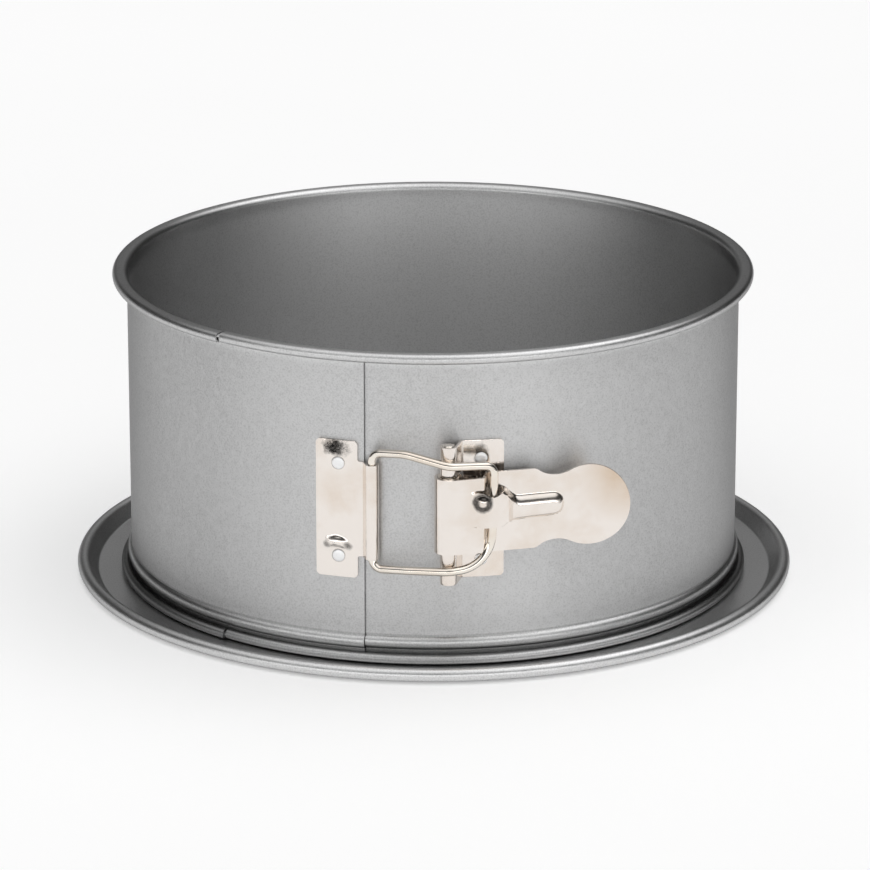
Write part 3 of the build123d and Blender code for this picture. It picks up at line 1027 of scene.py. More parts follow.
@dataclass(frozen=True)
class NickelPlate(Finish):
    """Bright nickel plate, warm, with faint waves and rubbing marks.

    Attributes:
        light: Colour where the plate is clean.
        warm: Colour where it is tarnished.
        gloss_low: Lowest roughness.
        gloss_high: Highest roughness.
        waves: Strength of the broad unevenness.
        marks: Spots of painted shade near pressed shapes and rivets, placed in the tin.
        glow_place: Middle of a broad warm area, in millimetres.
        glow_radius: Its radius.
        glow_core: Share of that radius at which it is warmest.
    """

    light: tuple[float, float, float] = (0.85, 0.795, 0.745)
    warm: tuple[float, float, float] = (0.66, 0.53, 0.41)
    gloss_low: float = 0.10
    gloss_high: float = 0.20
    waves: float = 0.3
    marks: tuple[ShadeMark, ...] = ()
    glow_place: Sequence[float] | None = None
    glow_radius: float = 20.0
    glow_core: float = 0.1

    def _away(self, bench: NodeBench, place: Sequence[float]) -> Socket:
        """Distance from a place.

        Args:
            bench: Material's tree.
            place: Place in the tin, in millimetres.

        Returns:
            The distance in millimetres.
        """
        spot = [value * METRES for value in place]
        node = bench.add("ShaderNodeVectorMath", {0: bench.place(), 1: spot}, operation="DISTANCE")
        return bench.maths(Sum.TIMES, node.outputs["Value"], 1.0 / METRES)

    def _painted_shade(self, bench: NodeBench, metal: Socket) -> Socket:
        """Paint shade into a colour at each of the marks.

        Args:
            bench: Material's tree.
            metal: Colour before the painted shade.

        Returns:
            The colour with its painted shade.
        """
        grain = bench.noise(bench.place(), scale=2600.0, detail=2.0, rough=0.6)
        stray = bench.noise(bench.place(), scale=420.0, detail=3.0)
        for mark in self.marks:
            wander = bench.spread(stray, -mark.wander, mark.wander)
            away = bench.maths(Sum.PLUS, self._away(bench, mark.place), wander)
            spot = bench.spread(away, mark.depth, 0.0, mark.core, mark.outer)
            if mark.clear:
                edge = [mark.clear * share for share in mark.clear_fade]
                hole = bench.spread(away, 0.0, 1.0, *edge)
                spot = bench.maths(Sum.TIMES, spot, hole)
            speck = bench.spread(grain, 1.0 - mark.speckle, 1.0, start=0.38, end=0.6)
            left = bench.spread(bench.maths(Sum.TIMES, spot, speck), 1.0, 0.0, 0.0, 1.0)
            metal = bench.mix(metal, left, 1.0, Layer.DARKEN)
        return metal

    def lay_out(self, bench: NodeBench) -> None:
        """Add and join the material's nodes.

        Args:
            bench: Its empty tree.
        """
        place = bench.place()
        cloud = bench.noise(place, scale=48.0, detail=4.0, rough=0.6)
        tarnish = bench.spread(cloud, low=0.0, high=0.5, start=0.45, end=0.75)
        if self.glow_place:
            away = self._away(bench, self.glow_place)
            core = self.glow_radius * self.glow_core
            area = bench.spread(away, 1.0, 0.0, core, self.glow_radius)
            cloud = bench.noise(place, scale=95.0, detail=4.0, rough=0.6)
            patch = bench.spread(cloud, low=0.8, high=1.1, start=0.35, end=0.6)
            tarnish = bench.maths(Sum.MOST, tarnish, bench.maths(Sum.TIMES, area, patch))
        metal = bench.mix((*self.light, 1.0), (*self.warm, 1.0), tarnish)
        # Painted shade: the marks darken the base colour.
        if self.marks:
            metal = self._painted_shade(bench, metal)
        rub = bench.noise(bench.place((1.0, 1.0, 9.0)), scale=260.0, detail=4.0, rough=0.65)
        wave = bench.noise(place, scale=115.0, detail=2.0, rough=0.4)
        under = bench.bump(wave, self.waves, depth=0.0004)
        bench.metal(
            {
                "Base Color": metal,
                "Roughness": bench.spread(rub, self.gloss_low, self.gloss_high),
                "Normal": bench.bump(rub, strength=0.08, depth=0.00004, under=under),
            }
        )


@dataclass(frozen=True)
class SoftAluminium(Finish):
    """Plain aluminium of the rivets, with hammer marks.

    Attributes:
        shade: Grey of the metal.
        dull: Share of that shade in the marks.
        gloss_low: Lowest roughness.
        gloss_high: Highest roughness.
    """

    shade: float = 0.90
    dull: float = 0.93
    gloss_low: float = 0.29
    gloss_high: float = 0.42

    def lay_out(self, bench: NodeBench) -> None:
        """Add and join the material's nodes.

        Args:
            bench: Its empty tree.
        """
        marks = bench.noise(bench.place(), scale=700.0, detail=3.0, rough=0.6)
        clean = bench.spread(marks, low=0.0, high=1.0)
        bench.metal(
            {
                "Base Color": bench.mix(grey(self.shade * self.dull), grey(self.shade), clean),
                "Roughness": bench.spread(marks, self.gloss_low, self.gloss_high),
                "Normal": bench.bump(marks, strength=0.4, depth=0.0001),
            }
        )


@dataclass(frozen=True)
class FloorPaper(Finish):
    """Pale floor that keeps the tin's shadow and looks white in sight and reflections.

    Attributes:
        shade: Grey of the paper.
        glow: Light that it adds where it is seen.
    """

    shade: float = 0.93
    glow: float = 0.25

    def lay_out(self, bench: NodeBench) -> None:
        """Add and join the material's nodes.

        Args:
            bench: Its empty tree.
        """
        soft = bench.spread(bench.noise(bench.place(), scale=3.0, detail=3.0), low=0.985, high=1.0)
        paper = bench.mix(grey(0.0), grey(self.shade), soft)
        matt = bench.add("ShaderNodeBsdfDiffuse", {"Color": paper})
        rays = bench.add("ShaderNodeLightPath").outputs
        seen = bench.maths(Sum.MOST, rays["Is Camera Ray"], rays["Is Glossy Ray"])
        seen = bench.maths(Sum.MOST, seen, rays["Is Transmission Ray"])
        off, on = (
            bench.add("ShaderNodeEmission", {"Strength": power}).outputs["Emission"]
            for power in (0.0, self.glow)
        )
        pick = bench.add("ShaderNodeMixShader", {"Fac": seen, 1: off, 2: on})
        both = bench.add("ShaderNodeAddShader", {0: matt.outputs["BSDF"], 1: pick.outputs["Shader"]})
        bench.add("ShaderNodeOutputMaterial", {"Surface": both.outputs["Shader"]})


# Painted shade: its creases darken the groove under the bead and the bead's top crease.
BAND_TIN = TinnedSteel("band_tin", creases=((0.0052, 0.0012, 0.5), (0.0116, 0.0008, 0.25)))
BASE_TIN = TinnedSteel(
    "base_tin", shade=0.70, gloss_low=0.40, gloss_high=0.48, rolled=0.35, smoother=0.75
)
WIRE_NICKEL = NickelPlate(
    "wire_nickel", light=(0.86, 0.805, 0.73), gloss_low=0.06, gloss_high=0.13, waves=0.15
)
RIVET_METAL = SoftAluminium("soft_aluminium")


def dress(piece: bpy.types.Object, finish: Finish, body: Body | None) -> None:
    """Give a piece its finish and its body.

    Args:
        piece: Piece to dress.
        finish: Its finish.
        body: Body that it rides on, or none if it bends between two.
    """
    piece.data.materials.clear()
    piece.data.materials.append(finish.material())
    if body:
        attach(piece, body.value)
    log.info("%s: %d faces", piece.name, len(piece.data.polygons))


# Sub-assemblies


class Assembly(Protocol):
    """Whatever makes and dresses its own pieces."""

    def build(self) -> None:
        """Make and dress the pieces."""


@dataclass
class BaseTray:
    """The base: a raised disc with a hemmed edge in a wide drip tray."""

    sheet: float = 0.7
    disc_height: float = 9.4
    hem_radius: float = 121.1
    hem_roll: float = 1.0
    neck_radius: float = 118.9
    neck_bend: float = 0.6
    floor_corner: float = 0.8
    wall_bend: float = 1.2
    slope: float = 50.0
    rim_radius: float = 142.95
    rim_height: float = 5.95
    rim_roll: float = 2.65
    rim_turn: float = 260.0
    pinhole: float = 0.01
    step: float = 1.0

    def section(self) -> Loop:
        """Closed section from the middle to the rolled rim.

        Returns:
            Radius and height points.
        """
        centre = (self.rim_radius - self.rim_roll, self.rim_height - self.rim_roll)
        top = on_circle(self.rim_roll, 90.0 + self.slope, centre)
        path = SheetPath((0.0, self.disc_height), 0.0)
        path.run(self.hem_radius - self.hem_roll).bend(self.hem_roll, -180.0)
        path.run(self.hem_radius - self.hem_roll - self.neck_radius - self.neck_bend)
        path.bend(self.neck_bend, 90.0)
        below = self.disc_height - 2 * self.hem_roll - self.neck_bend
        path.run(below - self.sheet - self.floor_corner).bend(self.floor_corner, 90.0)
        run = (top[1] - self.sheet) / math.tan(math.radians(self.slope))
        inset = self.wall_bend * math.tan(math.radians(self.slope / 2))
        here = path.at(path.length)[0][0]
        path.run(top[0] - run - inset - here).bend(self.wall_bend, self.slope)
        path.run(math.dist(path.at(path.length)[0], top)).bend(self.rim_roll, -self.rim_turn)
        points = strip_section(path, self.sheet, -1, ROLL_STEP)
        return [(max(radius, self.pinhole), height) for radius, height in points]

    def build(self) -> None:
        """Make and dress the base."""
        piece = revolve_section("base_tray_sheet", self.section(), 0.0, 0.0, 360.0, self.step)
        dress(piece, BASE_TIN, Body.BASE)
        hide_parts("base_tray")


@dataclass
class SpringBand:
    """The wall: one strip, rolled at both edges, that laps at the front left."""

    radius: float = 120.0
    sheet: float = 0.6
    layer_gap: float = 0.55
    tuck: float = 0.35
    rim_top: float = 124.4
    rim_reach: float = 6.3
    rim_bend: float = 2.4
    rim_roll: float = 1.95
    rim_turn: float = 240.0
    foot_low: float = 1.1
    foot_reach: float = 4.7
    foot_bend: float = 1.9
    foot_roll: float = 1.9
    foot_turn: float = 200.0
    groove_middle: float = 8.8
    groove_half: float = 2.75
    groove_depth: float = 1.6
    crest_share: float = 0.72
    outer_end: float = -12.5
    inner_end: float = -40.0
    step_gap: float = 0.5
    step: float = 1.0

    @property
    def shift(self) -> float:
        """Distance between the faces of the two layers."""
        return self.sheet + self.layer_gap

    @property
    def axis_shift(self) -> float:
        """How far the outer layer's axis lies in front of the tin's."""
        lap = math.radians((self.outer_end + self.inner_end) / 2)
        return self.shift / (1 + math.cos(lap))

    def section(self, wall: float, nested: bool) -> Loop:
        """Closed section of the strip.

        Args:
            wall: Radius of the wall's inner face.
            nested: Whether its rolls lie inside those of the other layer.

        Returns:
            Radius and height points.
        """
        inset = self.sheet + self.tuck if nested else 0.0
        shift = self.shift if nested else 0.0
        rim_roll, foot_roll = self.rim_roll - inset, self.foot_roll - inset
        rim_bend, foot_bend = self.rim_bend - shift, self.foot_bend - shift
        rim_reach = self.rim_reach - inset - shift
        foot_reach = self.foot_reach - inset - shift
        low, top = self.foot_low + inset, self.rim_top - inset
        slope = math.degrees(2 * math.atan(self.groove_depth / self.groove_half))
        curves = self.groove_half / math.sin(math.radians(slope))
        crest = curves * self.crest_share
        begin = self.foot_turn - 90.0
        centre = (wall + foot_reach - foot_roll, low + foot_roll)
        path = SheetPath(on_circle(foot_roll, begin, centre), begin - 90.0)
        path.bend(foot_roll, -self.foot_turn).run(foot_reach - foot_roll - foot_bend)
        path.bend(foot_bend, -90.0)
        path.run(self.groove_middle - self.groove_half - low - foot_bend)
        path.bend(curves - crest, -slope).bend(crest, 2 * slope).bend(curves - crest, -slope)
        path.run(top - rim_bend - self.groove_middle - self.groove_half)
        path.bend(rim_bend, -90.0).run(rim_reach - rim_roll - rim_bend)
        path.bend(rim_roll, -self.rim_turn)
        return strip_section(path, self.sheet, -1, ROLL_STEP)

    def build(self) -> None:
        """Make and dress the strip in the pieces that move apart."""
        wall, axis = self.radius + self.axis_shift, -self.axis_shift
        inner, outer = self.section(self.radius, False), self.section(wall, False)
        nested = self.section(wall, True)
        tuck = self.inner_end - self.step_gap
        for name, section, axis_y, start, end, body in (
            ("band_right", inner, 0.0, self.inner_end, 90.0, Body.RING),
            ("band_left", outer, axis, -90.0, tuck, Body.RING_END),
            ("band_lap", nested, axis, tuck, self.outer_end, Body.RING_END),
            ("band_back_right", inner, 0.0, 90.0, 180.0, None),
            ("band_back_left", outer, axis, 180.0, 270.0, None),
        ):
            piece = revolve_section(name, section, axis_y, start, end, self.step)
            dress(piece, BAND_TIN, body)
            if body is None:
                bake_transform(piece)
            if name == "band_right":
                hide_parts("band")


@dataclass
class LatchPlate:
    """A plate riveted to the wall, with one edge bent off it and curled round an axis.

    Attributes:
        band: Wall that it is riveted to.
        axis_shift: How far in front of the tin's axis that layer of the wall stands.
        body: Body that it rides on.
        side: 1 if its right edge is the bent one, -1 if its left.
        seat_gap: Gap between the wall and the leaf.
        sheet: Thickness.
        width: From the leaf's free edge to its bend.
        middle: Height of the leaf's middle.
        half_height: Half the leaf's height.
        neck_middle: Height of the neck's or notch's middle.
        neck_half: Half its height.
        corners: Radii of the leaf's corners, first at its free edge, and of the neck's.
        trim: How far the free edge is cut back.
        bend_angle: Front angle of the bend.
        bend_radius: Radius of the bend.
        rise: Turn of the bend, in degrees.
        curl_radius: Inner radius of the curl.
        curl_height: Distance of its middle from the leaf's inner face.
        curl_turn: Its turn, in degrees.
        rivet_angle: Front angle of its rivets.
        rivet_heights: Heights of the lower and the upper rivet.
        marks: Spots of painted shade, by distance across from the bend, and height.
    """

    band: SpringBand
    axis_shift: float = 0.0
    body: Body = Body.RING
    side: int = 1
    seat_gap: float = 0.05
    sheet: float = 0.9
    width: float = 18.0
    middle: float = 61.7
    half_height: float = 27.1
    neck_middle: float = 62.1
    neck_half: float = 18.75
    corners: tuple[float, float, float, float] = (1.7, 1.7, 0.9, 0.2)
    trim: float = 0.02
    bend_angle: float = 0.0
    bend_radius: float = 1.5
    rise: float = 60.0
    curl_radius: float = 1.7
    curl_height: float = 2.75
    curl_turn: float = 280.0
    rivet_angle: float = 0.0
    rivet_heights: Point = (43.0, 79.8)
    marks: tuple[ShadeMark, ...] = ()

    @property
    def seat(self) -> float:
        """Radius of the leaf's inner face."""
        return self.band.radius + self.axis_shift + self.band.sheet + self.seat_gap

    @property
    def stand(self) -> Stand:
        """Frame of the plate's section, at the foot of its bend."""
        origin = Vector((0.0, -self.axis_shift, 0.0)) + outward(self.bend_angle) * self.seat
        return Stand(origin, rightward(self.bend_angle), outward(self.bend_angle))

    def on_face(self, angle: float, height: float) -> Vector:
        """Point on the leaf's outer face, in millimetres."""
        middle = Vector((0.0, -self.axis_shift, height))
        return middle + outward(angle) * (self.seat + self.sheet)

    def spots(self) -> tuple[ShadeMark, ...]:
        """Spots of painted shade, placed in the tin.

        Returns:
            The marks.
        """
        placed = []
        for mark in self.marks:
            across, height = mark.place
            angle = self.bend_angle + math.degrees(across / (self.seat + self.sheet))
            placed.append(replace(mark, place=self.on_face(angle, height)))
        return tuple(placed)

    @property
    def curl_middle(self) -> Point:
        """Middle of the curl in the section.

        Returns:
            The point.
        """
        touch = on_circle(self.curl_radius, 90.0 + self.side * self.rise, (0.0, self.curl_height))
        foot = touch[0] - self.side * touch[1] / math.tan(math.radians(self.rise))
        inset = self.bend_radius * math.tan(math.radians(self.rise / 2))
        return (self.side * inset - foot, self.curl_height)

    @property
    def pivot(self) -> Vector:
        """Axis of the curl, at height zero."""
        return self.stand.place(*self.curl_middle, 0.0)

    def face(self) -> SheetPath:
        """Inner face of the sheet, from the leaf's free edge to the curl's end.

        Returns:
            The path; its first leg is the leaf.
        """
        leaf = math.degrees(math.asin(self.width / self.seat))
        drop = self.seat * (1 - math.cos(math.radians(leaf)))
        heading = leaf if self.side > 0 else 180.0 - leaf
        path = SheetPath((-self.side * self.width, -drop), heading)
        path.bend(self.seat, -self.side * leaf).bend(self.bend_radius, self.side * self.rise)
        touch = on_circle(self.curl_radius, 90.0 + self.side * self.rise, self.curl_middle)
        path.run(math.dist(path.at(path.length)[0], touch))
        return path.bend(self.curl_radius, -self.side * self.curl_turn)

    def outline(self, edge: float, inner: float) -> Loop:
        """Outline of the blank, as high as the leaf and then as the neck or notch.

        Args:
            edge: Distance along the path at which the leaf's height ends.
            inner: Distance at which the neck or notch ends.

        Returns:
            Points round the outline.
        """
        rows = []
        for way in (-1, 1):
            leaf = self.middle + way * self.half_height
            neck = self.neck_middle + way * self.neck_half
            places = ((self.trim, leaf), (edge, leaf), (edge, neck), (inner, neck))
            rows.append([(*place, radius) for place, radius in zip(places, self.corners)])
        return rounded_loop(rows[0] + rows[1][::-1])


@dataclass
class Keeper(LatchPlate):
    """The left plate: riveted leaf, raised step and a curl round the wire."""

    body: Body = Body.RING_END
    bend_angle: float = -12.8
    step: float = 1.7
    pitch: float = 0.8
    ridge_across: float = -10.2
    ridge_height: float = 48.4
    ridge_half: float = 5.4
    ridge_arch: float = 0.055
    ridge_profile: tuple[Point, ...] = (
        (-2.2, 0.0),
        (-1.6, 0.4),
        (-0.9, 1.15),
        (-0.5, 1.25),
        (1.5, 0.85),
        (1.75, 0.6),
        (2.2, 0.0),
    )
    rivet_angle: float = -17.1
    # Painted shade: dark reflection smudges above the upper rivet, dark reflections at the ridge's ends,
    # and contact-shadow rings round both rivets.
    marks: tuple[ShadeMark, ...] = (
        ShadeMark((-9.9, 85.7), 2.3, 3.8, 0.985, speckle=0.3),
        ShadeMark((-12.4, 85.8), 1.7, 3.5, 0.95, speckle=0.5),
        ShadeMark((-7.2, 85.9), 0.8, 3.6, 0.8, speckle=0.7),
        ShadeMark((-13.7, 47.3), 0.7, 1.9, 0.75, wander=0.3),
        ShadeMark((-6.3, 47.6), 0.4, 1.5, 0.75, wander=0.3),
        ShadeMark((-4.9, 46.8), 0.4, 1.6, 0.7, wander=0.3),
        ShadeMark((-9.3, 79.8), 2.4, 2.8, 0.65, wander=0.08),
        ShadeMark((-9.3, 43.0), 2.4, 2.8, 0.65, wander=0.08),
    )

    def _ridge(self, point: Point, along: float, height: float) -> Point:
        """Press the small arched ridge over the lower rivet.

        Args:
            point: Point of the section.
            along: Its distance along the path.
            height: Its height.

        Returns:
            The moved point.
        """
        aside = point[0] - self.ridge_across
        rise = height - self.ridge_height + self.ridge_arch * aside * aside
        level = along_line(self.ridge_profile, rise)
        width = max(0.0, 1 - (aside / self.ridge_half) ** 2)
        return (point[0], point[1] + level * width)

    def build(self) -> None:
        """Make and dress the plate."""
        face = self.face()
        loop = self.outline(face.legs[0][0] - self.step, face.length)
        blank = Blank(
            "keeper_sheet",
            self.stand,
            face,
            self.sheet,
            self.side,
            [loop],
            pitch=self.pitch,
            press=self._ridge,
        )
        piece = blank.build()
        dress(piece, NickelPlate("keeper_nickel", marks=self.spots()), self.body)
        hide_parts("keeper_plate")


@dataclass
class Bracket(LatchPlate):
    """The right plate: riveted leaf, flange and two barrels for the pin."""

    side: int = -1
    width: float = 15.0
    middle: float = 62.7
    neck_middle: float = 63.1
    neck_half: float = 15.0
    corners: tuple[float, float, float, float] = (1.7, 0.25, 0.25, 0.6)
    notch_inset: float = 0.9
    bend_angle: float = 5.4
    bend_radius: float = 1.9
    rise: float = 70.0
    curl_radius: float = 2.35
    curl_height: float = 7.35
    curl_turn: float = 300.0
    rivet_angle: float = 8.4
    rivet_heights: Point = (42.6, 82.6)
    # Painted shade: dark reflection smudges above the upper rivet and a contact-shadow ring round it.
    marks: tuple[ShadeMark, ...] = (
        ShadeMark((5.8, 86.0), 0.8, 3.2, 0.85, speckle=0.4),
        ShadeMark((2.2, 85.4), 0.4, 2.6, 0.35),
        ShadeMark((6.4, 82.6), 2.45, 3.0, 0.6, wander=0.1),
    )

    def build(self) -> None:
        """Make and dress the plate."""
        face = self.face()
        loop = self.outline(face.length, face.legs[0][0] + self.notch_inset)
        piece = Blank("bracket_sheet", self.stand, face, self.sheet, self.side, [loop]).build()
        dress(piece, NickelPlate("bracket_nickel", marks=self.spots()), self.body)
        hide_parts("lever_bracket")


@dataclass
class Rivet:
    """A rivet: domed head, shank and flat tail."""

    name: str
    node: str
    plate: LatchPlate
    height: float
    head_radius: float = 2.4
    head_edge: float = 0.25
    head_dome: float = 0.4
    head_lift: float = 0.03
    head_chamfer: float = 0.06
    dome_steps: int = 8
    shank_radius: float = 1.5
    tail_radius: float = 2.2
    tail_depth: float = 0.2
    stack: float = 1.63

    def profile(self) -> Loop:
        """Radius and distance from the plate's face, from the tail to the dome's top.

        Returns:
            The points.
        """
        tail = -self.stack - self.tail_depth
        line: Loop = [(0.0, tail), (self.tail_radius, tail), (self.tail_radius, -self.stack)]
        line += [(self.shank_radius, -self.stack), (self.shank_radius, self.head_lift)]
        line.append((self.head_radius - self.head_chamfer, self.head_lift))
        line.append((self.head_radius, self.head_lift + self.head_chamfer))
        for k in range(self.dome_steps):
            x, y = on_circle(1.0, 90.0 * k / self.dome_steps)
            line.append((self.head_radius * x, self.head_edge + self.head_dome * y))
        return [*line, (0.0, self.head_edge + self.head_dome)]

    def build(self) -> None:
        """Make and dress the rivet."""
        angle = self.plate.rivet_angle
        foot = self.plate.on_face(angle, self.height)
        piece = spin_profile(self.name, self.profile(), foot, outward(angle))
        dress(piece, RIVET_METAL, self.plate.body)
        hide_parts(self.node)


@dataclass
class HingePin:
    """The pin: thin domed ends and a thicker middle in the lever's knuckle."""

    pivot: Vector
    low: float = 35.0
    high: float = 90.4
    middle_low: float = 48.3
    middle_high: float = 77.9
    end_radius: float = 2.3
    middle_radius: float = 4.2
    end_round: float = 1.1
    round_steps: int = 6

    def profile(self) -> Loop:
        """Radius and height points, from the foot to the head.

        Returns:
            The points.
        """
        inner = self.end_radius - self.end_round
        turns = [90.0 * k / self.round_steps for k in range(self.round_steps + 1)]
        foot, head = (inner, self.low + self.end_round), (inner, self.high - self.end_round)
        return [
            (0.0, self.low),
            *(on_circle(self.end_round, turn - 90.0, foot) for turn in turns),
            (self.end_radius, self.middle_low),
            (self.middle_radius, self.middle_low),
            (self.middle_radius, self.middle_high),
            (self.end_radius, self.middle_high),
            *(on_circle(self.end_round, turn, head) for turn in turns),
            (0.0, self.high),
        ]

    def build(self) -> None:
        """Make and dress the pin."""
        piece = spin_profile("hinge_pin_turned", self.profile(), self.pivot, UP)
        dress(piece, WIRE_NICKEL, Body.RING)
        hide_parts("hinge_pin")


@dataclass
class Lever:
    """The lever: knuckle, stepped arm, lanced hump with its rib, neck and thumb tip.

    The hump and the rib are one raised shape. Two slots free the hump's edges,
    and past them its flanks run down to the arm and along the rib. Lines of
    points are a distance along the lever and a height.
    """

    pivot: Vector
    angle: float = 14.5
    sheet: float = 1.1
    middle: float = 63.1
    knuckle_radius: float = 4.3
    knuckle_turn: float = 290.0
    knuckle_half: float = 14.7
    arm_half: float = 15.7
    arm_from: float = 13.8
    arm_level: float = 0.5
    drop_from: float = 12.1
    drop_length: float = 1.6
    drop_bend: float = 1.0
    flare_from: float = 46.0
    flare_radius: float = 90.0
    flare_turn: float = 18.0
    tip_middle: float = 54.4
    tip_radius: float = 15.8
    neck_from: float = 41.6
    neck_rise: float = 25.4
    shoulder: float = 3.0
    slot_from: float = 9.0
    rise_from: float = 5.8
    root_width: float = 0.9
    rise_to: float = 13.6
    slot_to: float = 21.3
    slot_gap: float = 0.3
    roof_level: float = 6.7
    fall_from: float = 19.0
    fall_to: float = 26.2
    crest_level: float = 2.4
    upper_edge: tuple[Point, ...] = (
        (9.0, 72.6),
        (11.6, 72.4),
        (13.1, 71.6),
        (14.5, 70.8),
        (15.6, 70.6),
        (16.9, 71.0),
        (18.3, 71.9),
        (19.7, 72.6),
        (21.3, 72.8),
    )
    slot_top: float = 73.0
    lower_edge: float = 58.8
    upper_flank: tuple[Point, ...] = (
        (16.0, 75.3),
        (19.0, 74.3),
        (21.3, 72.8),
        (23.4, 70.9),
        (25.4, 69.1),
        (27.0, 68.8),
        (40.0, 69.0),
    )
    upper_width: tuple[Point, ...] = ((21.3, 2.3), (26.0, 4.3), (40.0, 4.3))
    lower_flank: tuple[Point, ...] = (
        (17.0, 56.6),
        (21.3, 58.7),
        (24.6, 59.1),
        (27.3, 59.5),
        (40.0, 60.1),
    )
    lower_width: float = 1.7
    rib_end: float = 44.6
    rib_half: float = 4.45
    pip_from: float = 11.2
    pip_height: float = 68.8
    pip_long: float = 3.5
    pip_tall: float = 2.8
    pip_press: float = 1.2
    press_from: float = 2.0
    over_arm: float = 15.0
    edge_slack: float = 0.05
    root_least: float = 0.02
    slot_inset: float = 0.1
    shoulder_share: float = 0.8
    neck_steps: int = 14
    merge_step: int = 3
    arm_corner: float = 0.5
    pip_round: float = 1.5
    tip_steps: int = 64
    pitch: float = 0.55
    turn_step: float = 7.0
    edge_round: float = 0.12
    thumb: tuple[float, float, float] = (67.4, 4.0, 74.6)
    # Painted shade: a dark reflection ring round the pip at the hump's upper left corner.
    marks: tuple[ShadeMark, ...] = (
        ShadeMark((11.2, 7.7, 68.8), 3.3, 4.4, 0.92, clear=1.6, speckle=0.15, wander=0.3),
    )

    @property
    def stand(self) -> Stand:
        """Frame of the lever's section, on the pin's axis."""
        return Stand(self.pivot, rightward(self.angle), outward(self.angle))

    @cached_property
    def face(self) -> SheetPath:
        """Inner face of the sheet, from the knuckle's free edge to the tip.

        Returns:
            The path; its first leg is the knuckle.
        """
        start = on_circle(self.knuckle_radius, 90.0 + self.knuckle_turn)
        path = SheetPath(start, self.knuckle_turn).bend(self.knuckle_radius, -self.knuckle_turn)
        path.follow(
            [
                (self.drop_from, self.knuckle_radius),
                (self.drop_from + self.drop_length, self.arm_level),
                (self.flare_from, self.arm_level),
            ],
            self.drop_bend,
        )
        return path.bend(self.flare_radius, self.flare_turn)

    @cached_property
    def zero(self) -> float:
        """Distance along the path that lies over the pin's axis."""
        return self.face.legs[0][0]

    @cached_property
    def skew(self) -> float:
        """Further distance that the arm's step adds."""
        return self.face.length - self.face.legs[-1][0] - self.zero - self.flare_from

    def _outline(self) -> Loop:
        """Outline of the blank.

        Returns:
            Points round the outline.
        """
        step = self.tip_middle - self.neck_from
        neck_radius = math.hypot(step, self.neck_rise) - self.tip_radius
        lean = math.degrees(math.atan2(self.neck_rise, step))
        spread = math.degrees(math.asin((self.neck_rise - self.arm_half) / neck_radius))
        sweep = 180.0 - spread - lean
        turns = [spread - 180.0 + sweep * k / self.neck_steps for k in range(self.neck_steps + 1)]
        neck = [on_circle(neck_radius, turn, (self.neck_from, self.neck_rise)) for turn in turns]
        half = self.tip_steps // 2
        turns = [(180.0 - lean) * (1 - k / half) for k in range(1, self.tip_steps)]
        tip = [on_circle(self.tip_radius, turn, (self.tip_middle, 0.0)) for turn in turns]
        corner = rounded_loop(
            [
                (self.arm_from, self.knuckle_half, 0.0),
                (self.arm_from, self.arm_half, self.arm_corner),
                (neck[0][0], self.arm_half, self.shoulder * self.shoulder_share),
                (*neck[self.merge_step], 0.0),
            ]
        )
        upper = corner + neck[self.merge_step + 1 :]
        lower = [(x, -y) for x, y in upper[::-1]]
        free = -self.zero
        ends = ((free, self.knuckle_half), (free, -self.knuckle_half))
        loop: Loop = []
        for x, y in (ends[0], *upper, *tip, *lower, ends[1]):
            along = x + self.zero
            past = self.skew if x > self.arm_from - self.slot_inset else 0.0
            loop.append((along + past, y + self.middle))
        return loop

    def _slots(self) -> list[Loop]:
        """Two slots that free the hump's edges.

        Returns:
            Upper and lower slot.
        """
        left = self.zero + self.slot_from
        free = self.slot_to - self.slot_from
        stretch = (free + self.skew) / free
        edge = [(left + (u - self.slot_from) * stretch, z) for u, z in self.upper_edge]
        right = edge[-1][0]
        below = self.lower_edge - self.slot_gap
        upper = [*edge, (right - self.slot_inset, self.slot_top), (left, self.slot_top)]
        return [upper, [(left, below), (right, below), (right, self.lower_edge), (left, self.lower_edge)]]

    def _level(self, along: float) -> float:
        """Inner level of the hump's middle and of the rib's crest.

        Args:
            along: Distance along the lever.

        Returns:
            The level.
        """
        rise = ease((along - self.rise_from) / (self.rise_to - self.rise_from))
        fall = ease((along - self.fall_from) / (self.fall_to - self.fall_from))
        roof = self.knuckle_radius + (self.roof_level - self.knuckle_radius) * rise
        return roof - (self.roof_level - self.crest_level) * fall

    def _flank(self, along: float, height: float) -> float:
        """Share of the raised shape's level at a point of the arm.

        Args:
            along: Distance along the lever.
            height: Height of the point.

        Returns:
            The share, 1 at the crest.
        """
        begin = self.rib_end - self.rib_half
        if along > begin:
            middle = (self.upper_flank[-1][1] + self.lower_flank[-1][1]) / 2
            away = math.hypot(along - begin, height - middle)
            lean = (height - middle) / max(away, TINY)
            upper = self.upper_width[-1][1]
            width = (upper + self.lower_width + (upper - self.lower_width) * lean) / 2
            return crown((self.rib_half - away) / width)
        width = along_line(self.upper_width, along)
        above = crown((along_line(self.upper_flank, along) - height) / width)
        below = crown((height - along_line(self.lower_flank, along)) / self.lower_width)
        return above * below

    def _root(self, along: float, height: float) -> float:
        """Share of the strip's rise at a point left of the slots.

        Args:
            along: Distance along the lever.
            height: Height of the point.

        Returns:
            The share.
        """
        width = max(self.root_width * (self.slot_from - along), self.root_least)
        above = crown((self.upper_edge[0][1] - height) / width)
        return above * crown((height - self.lower_edge) / width)

    def _pip(self, along: float, height: float) -> float:
        """Rise of the round mark at the hump's upper left corner.

        Args:
            along: Distance along the lever.
            height: Height of the point.

        Returns:
            The rise.
        """
        across = (along - self.pip_from) / self.pip_long
        away = math.hypot(across, (height - self.pip_height) / self.pip_tall)
        return self.pip_press * max(0.0, 1 - away * away) ** self.pip_round

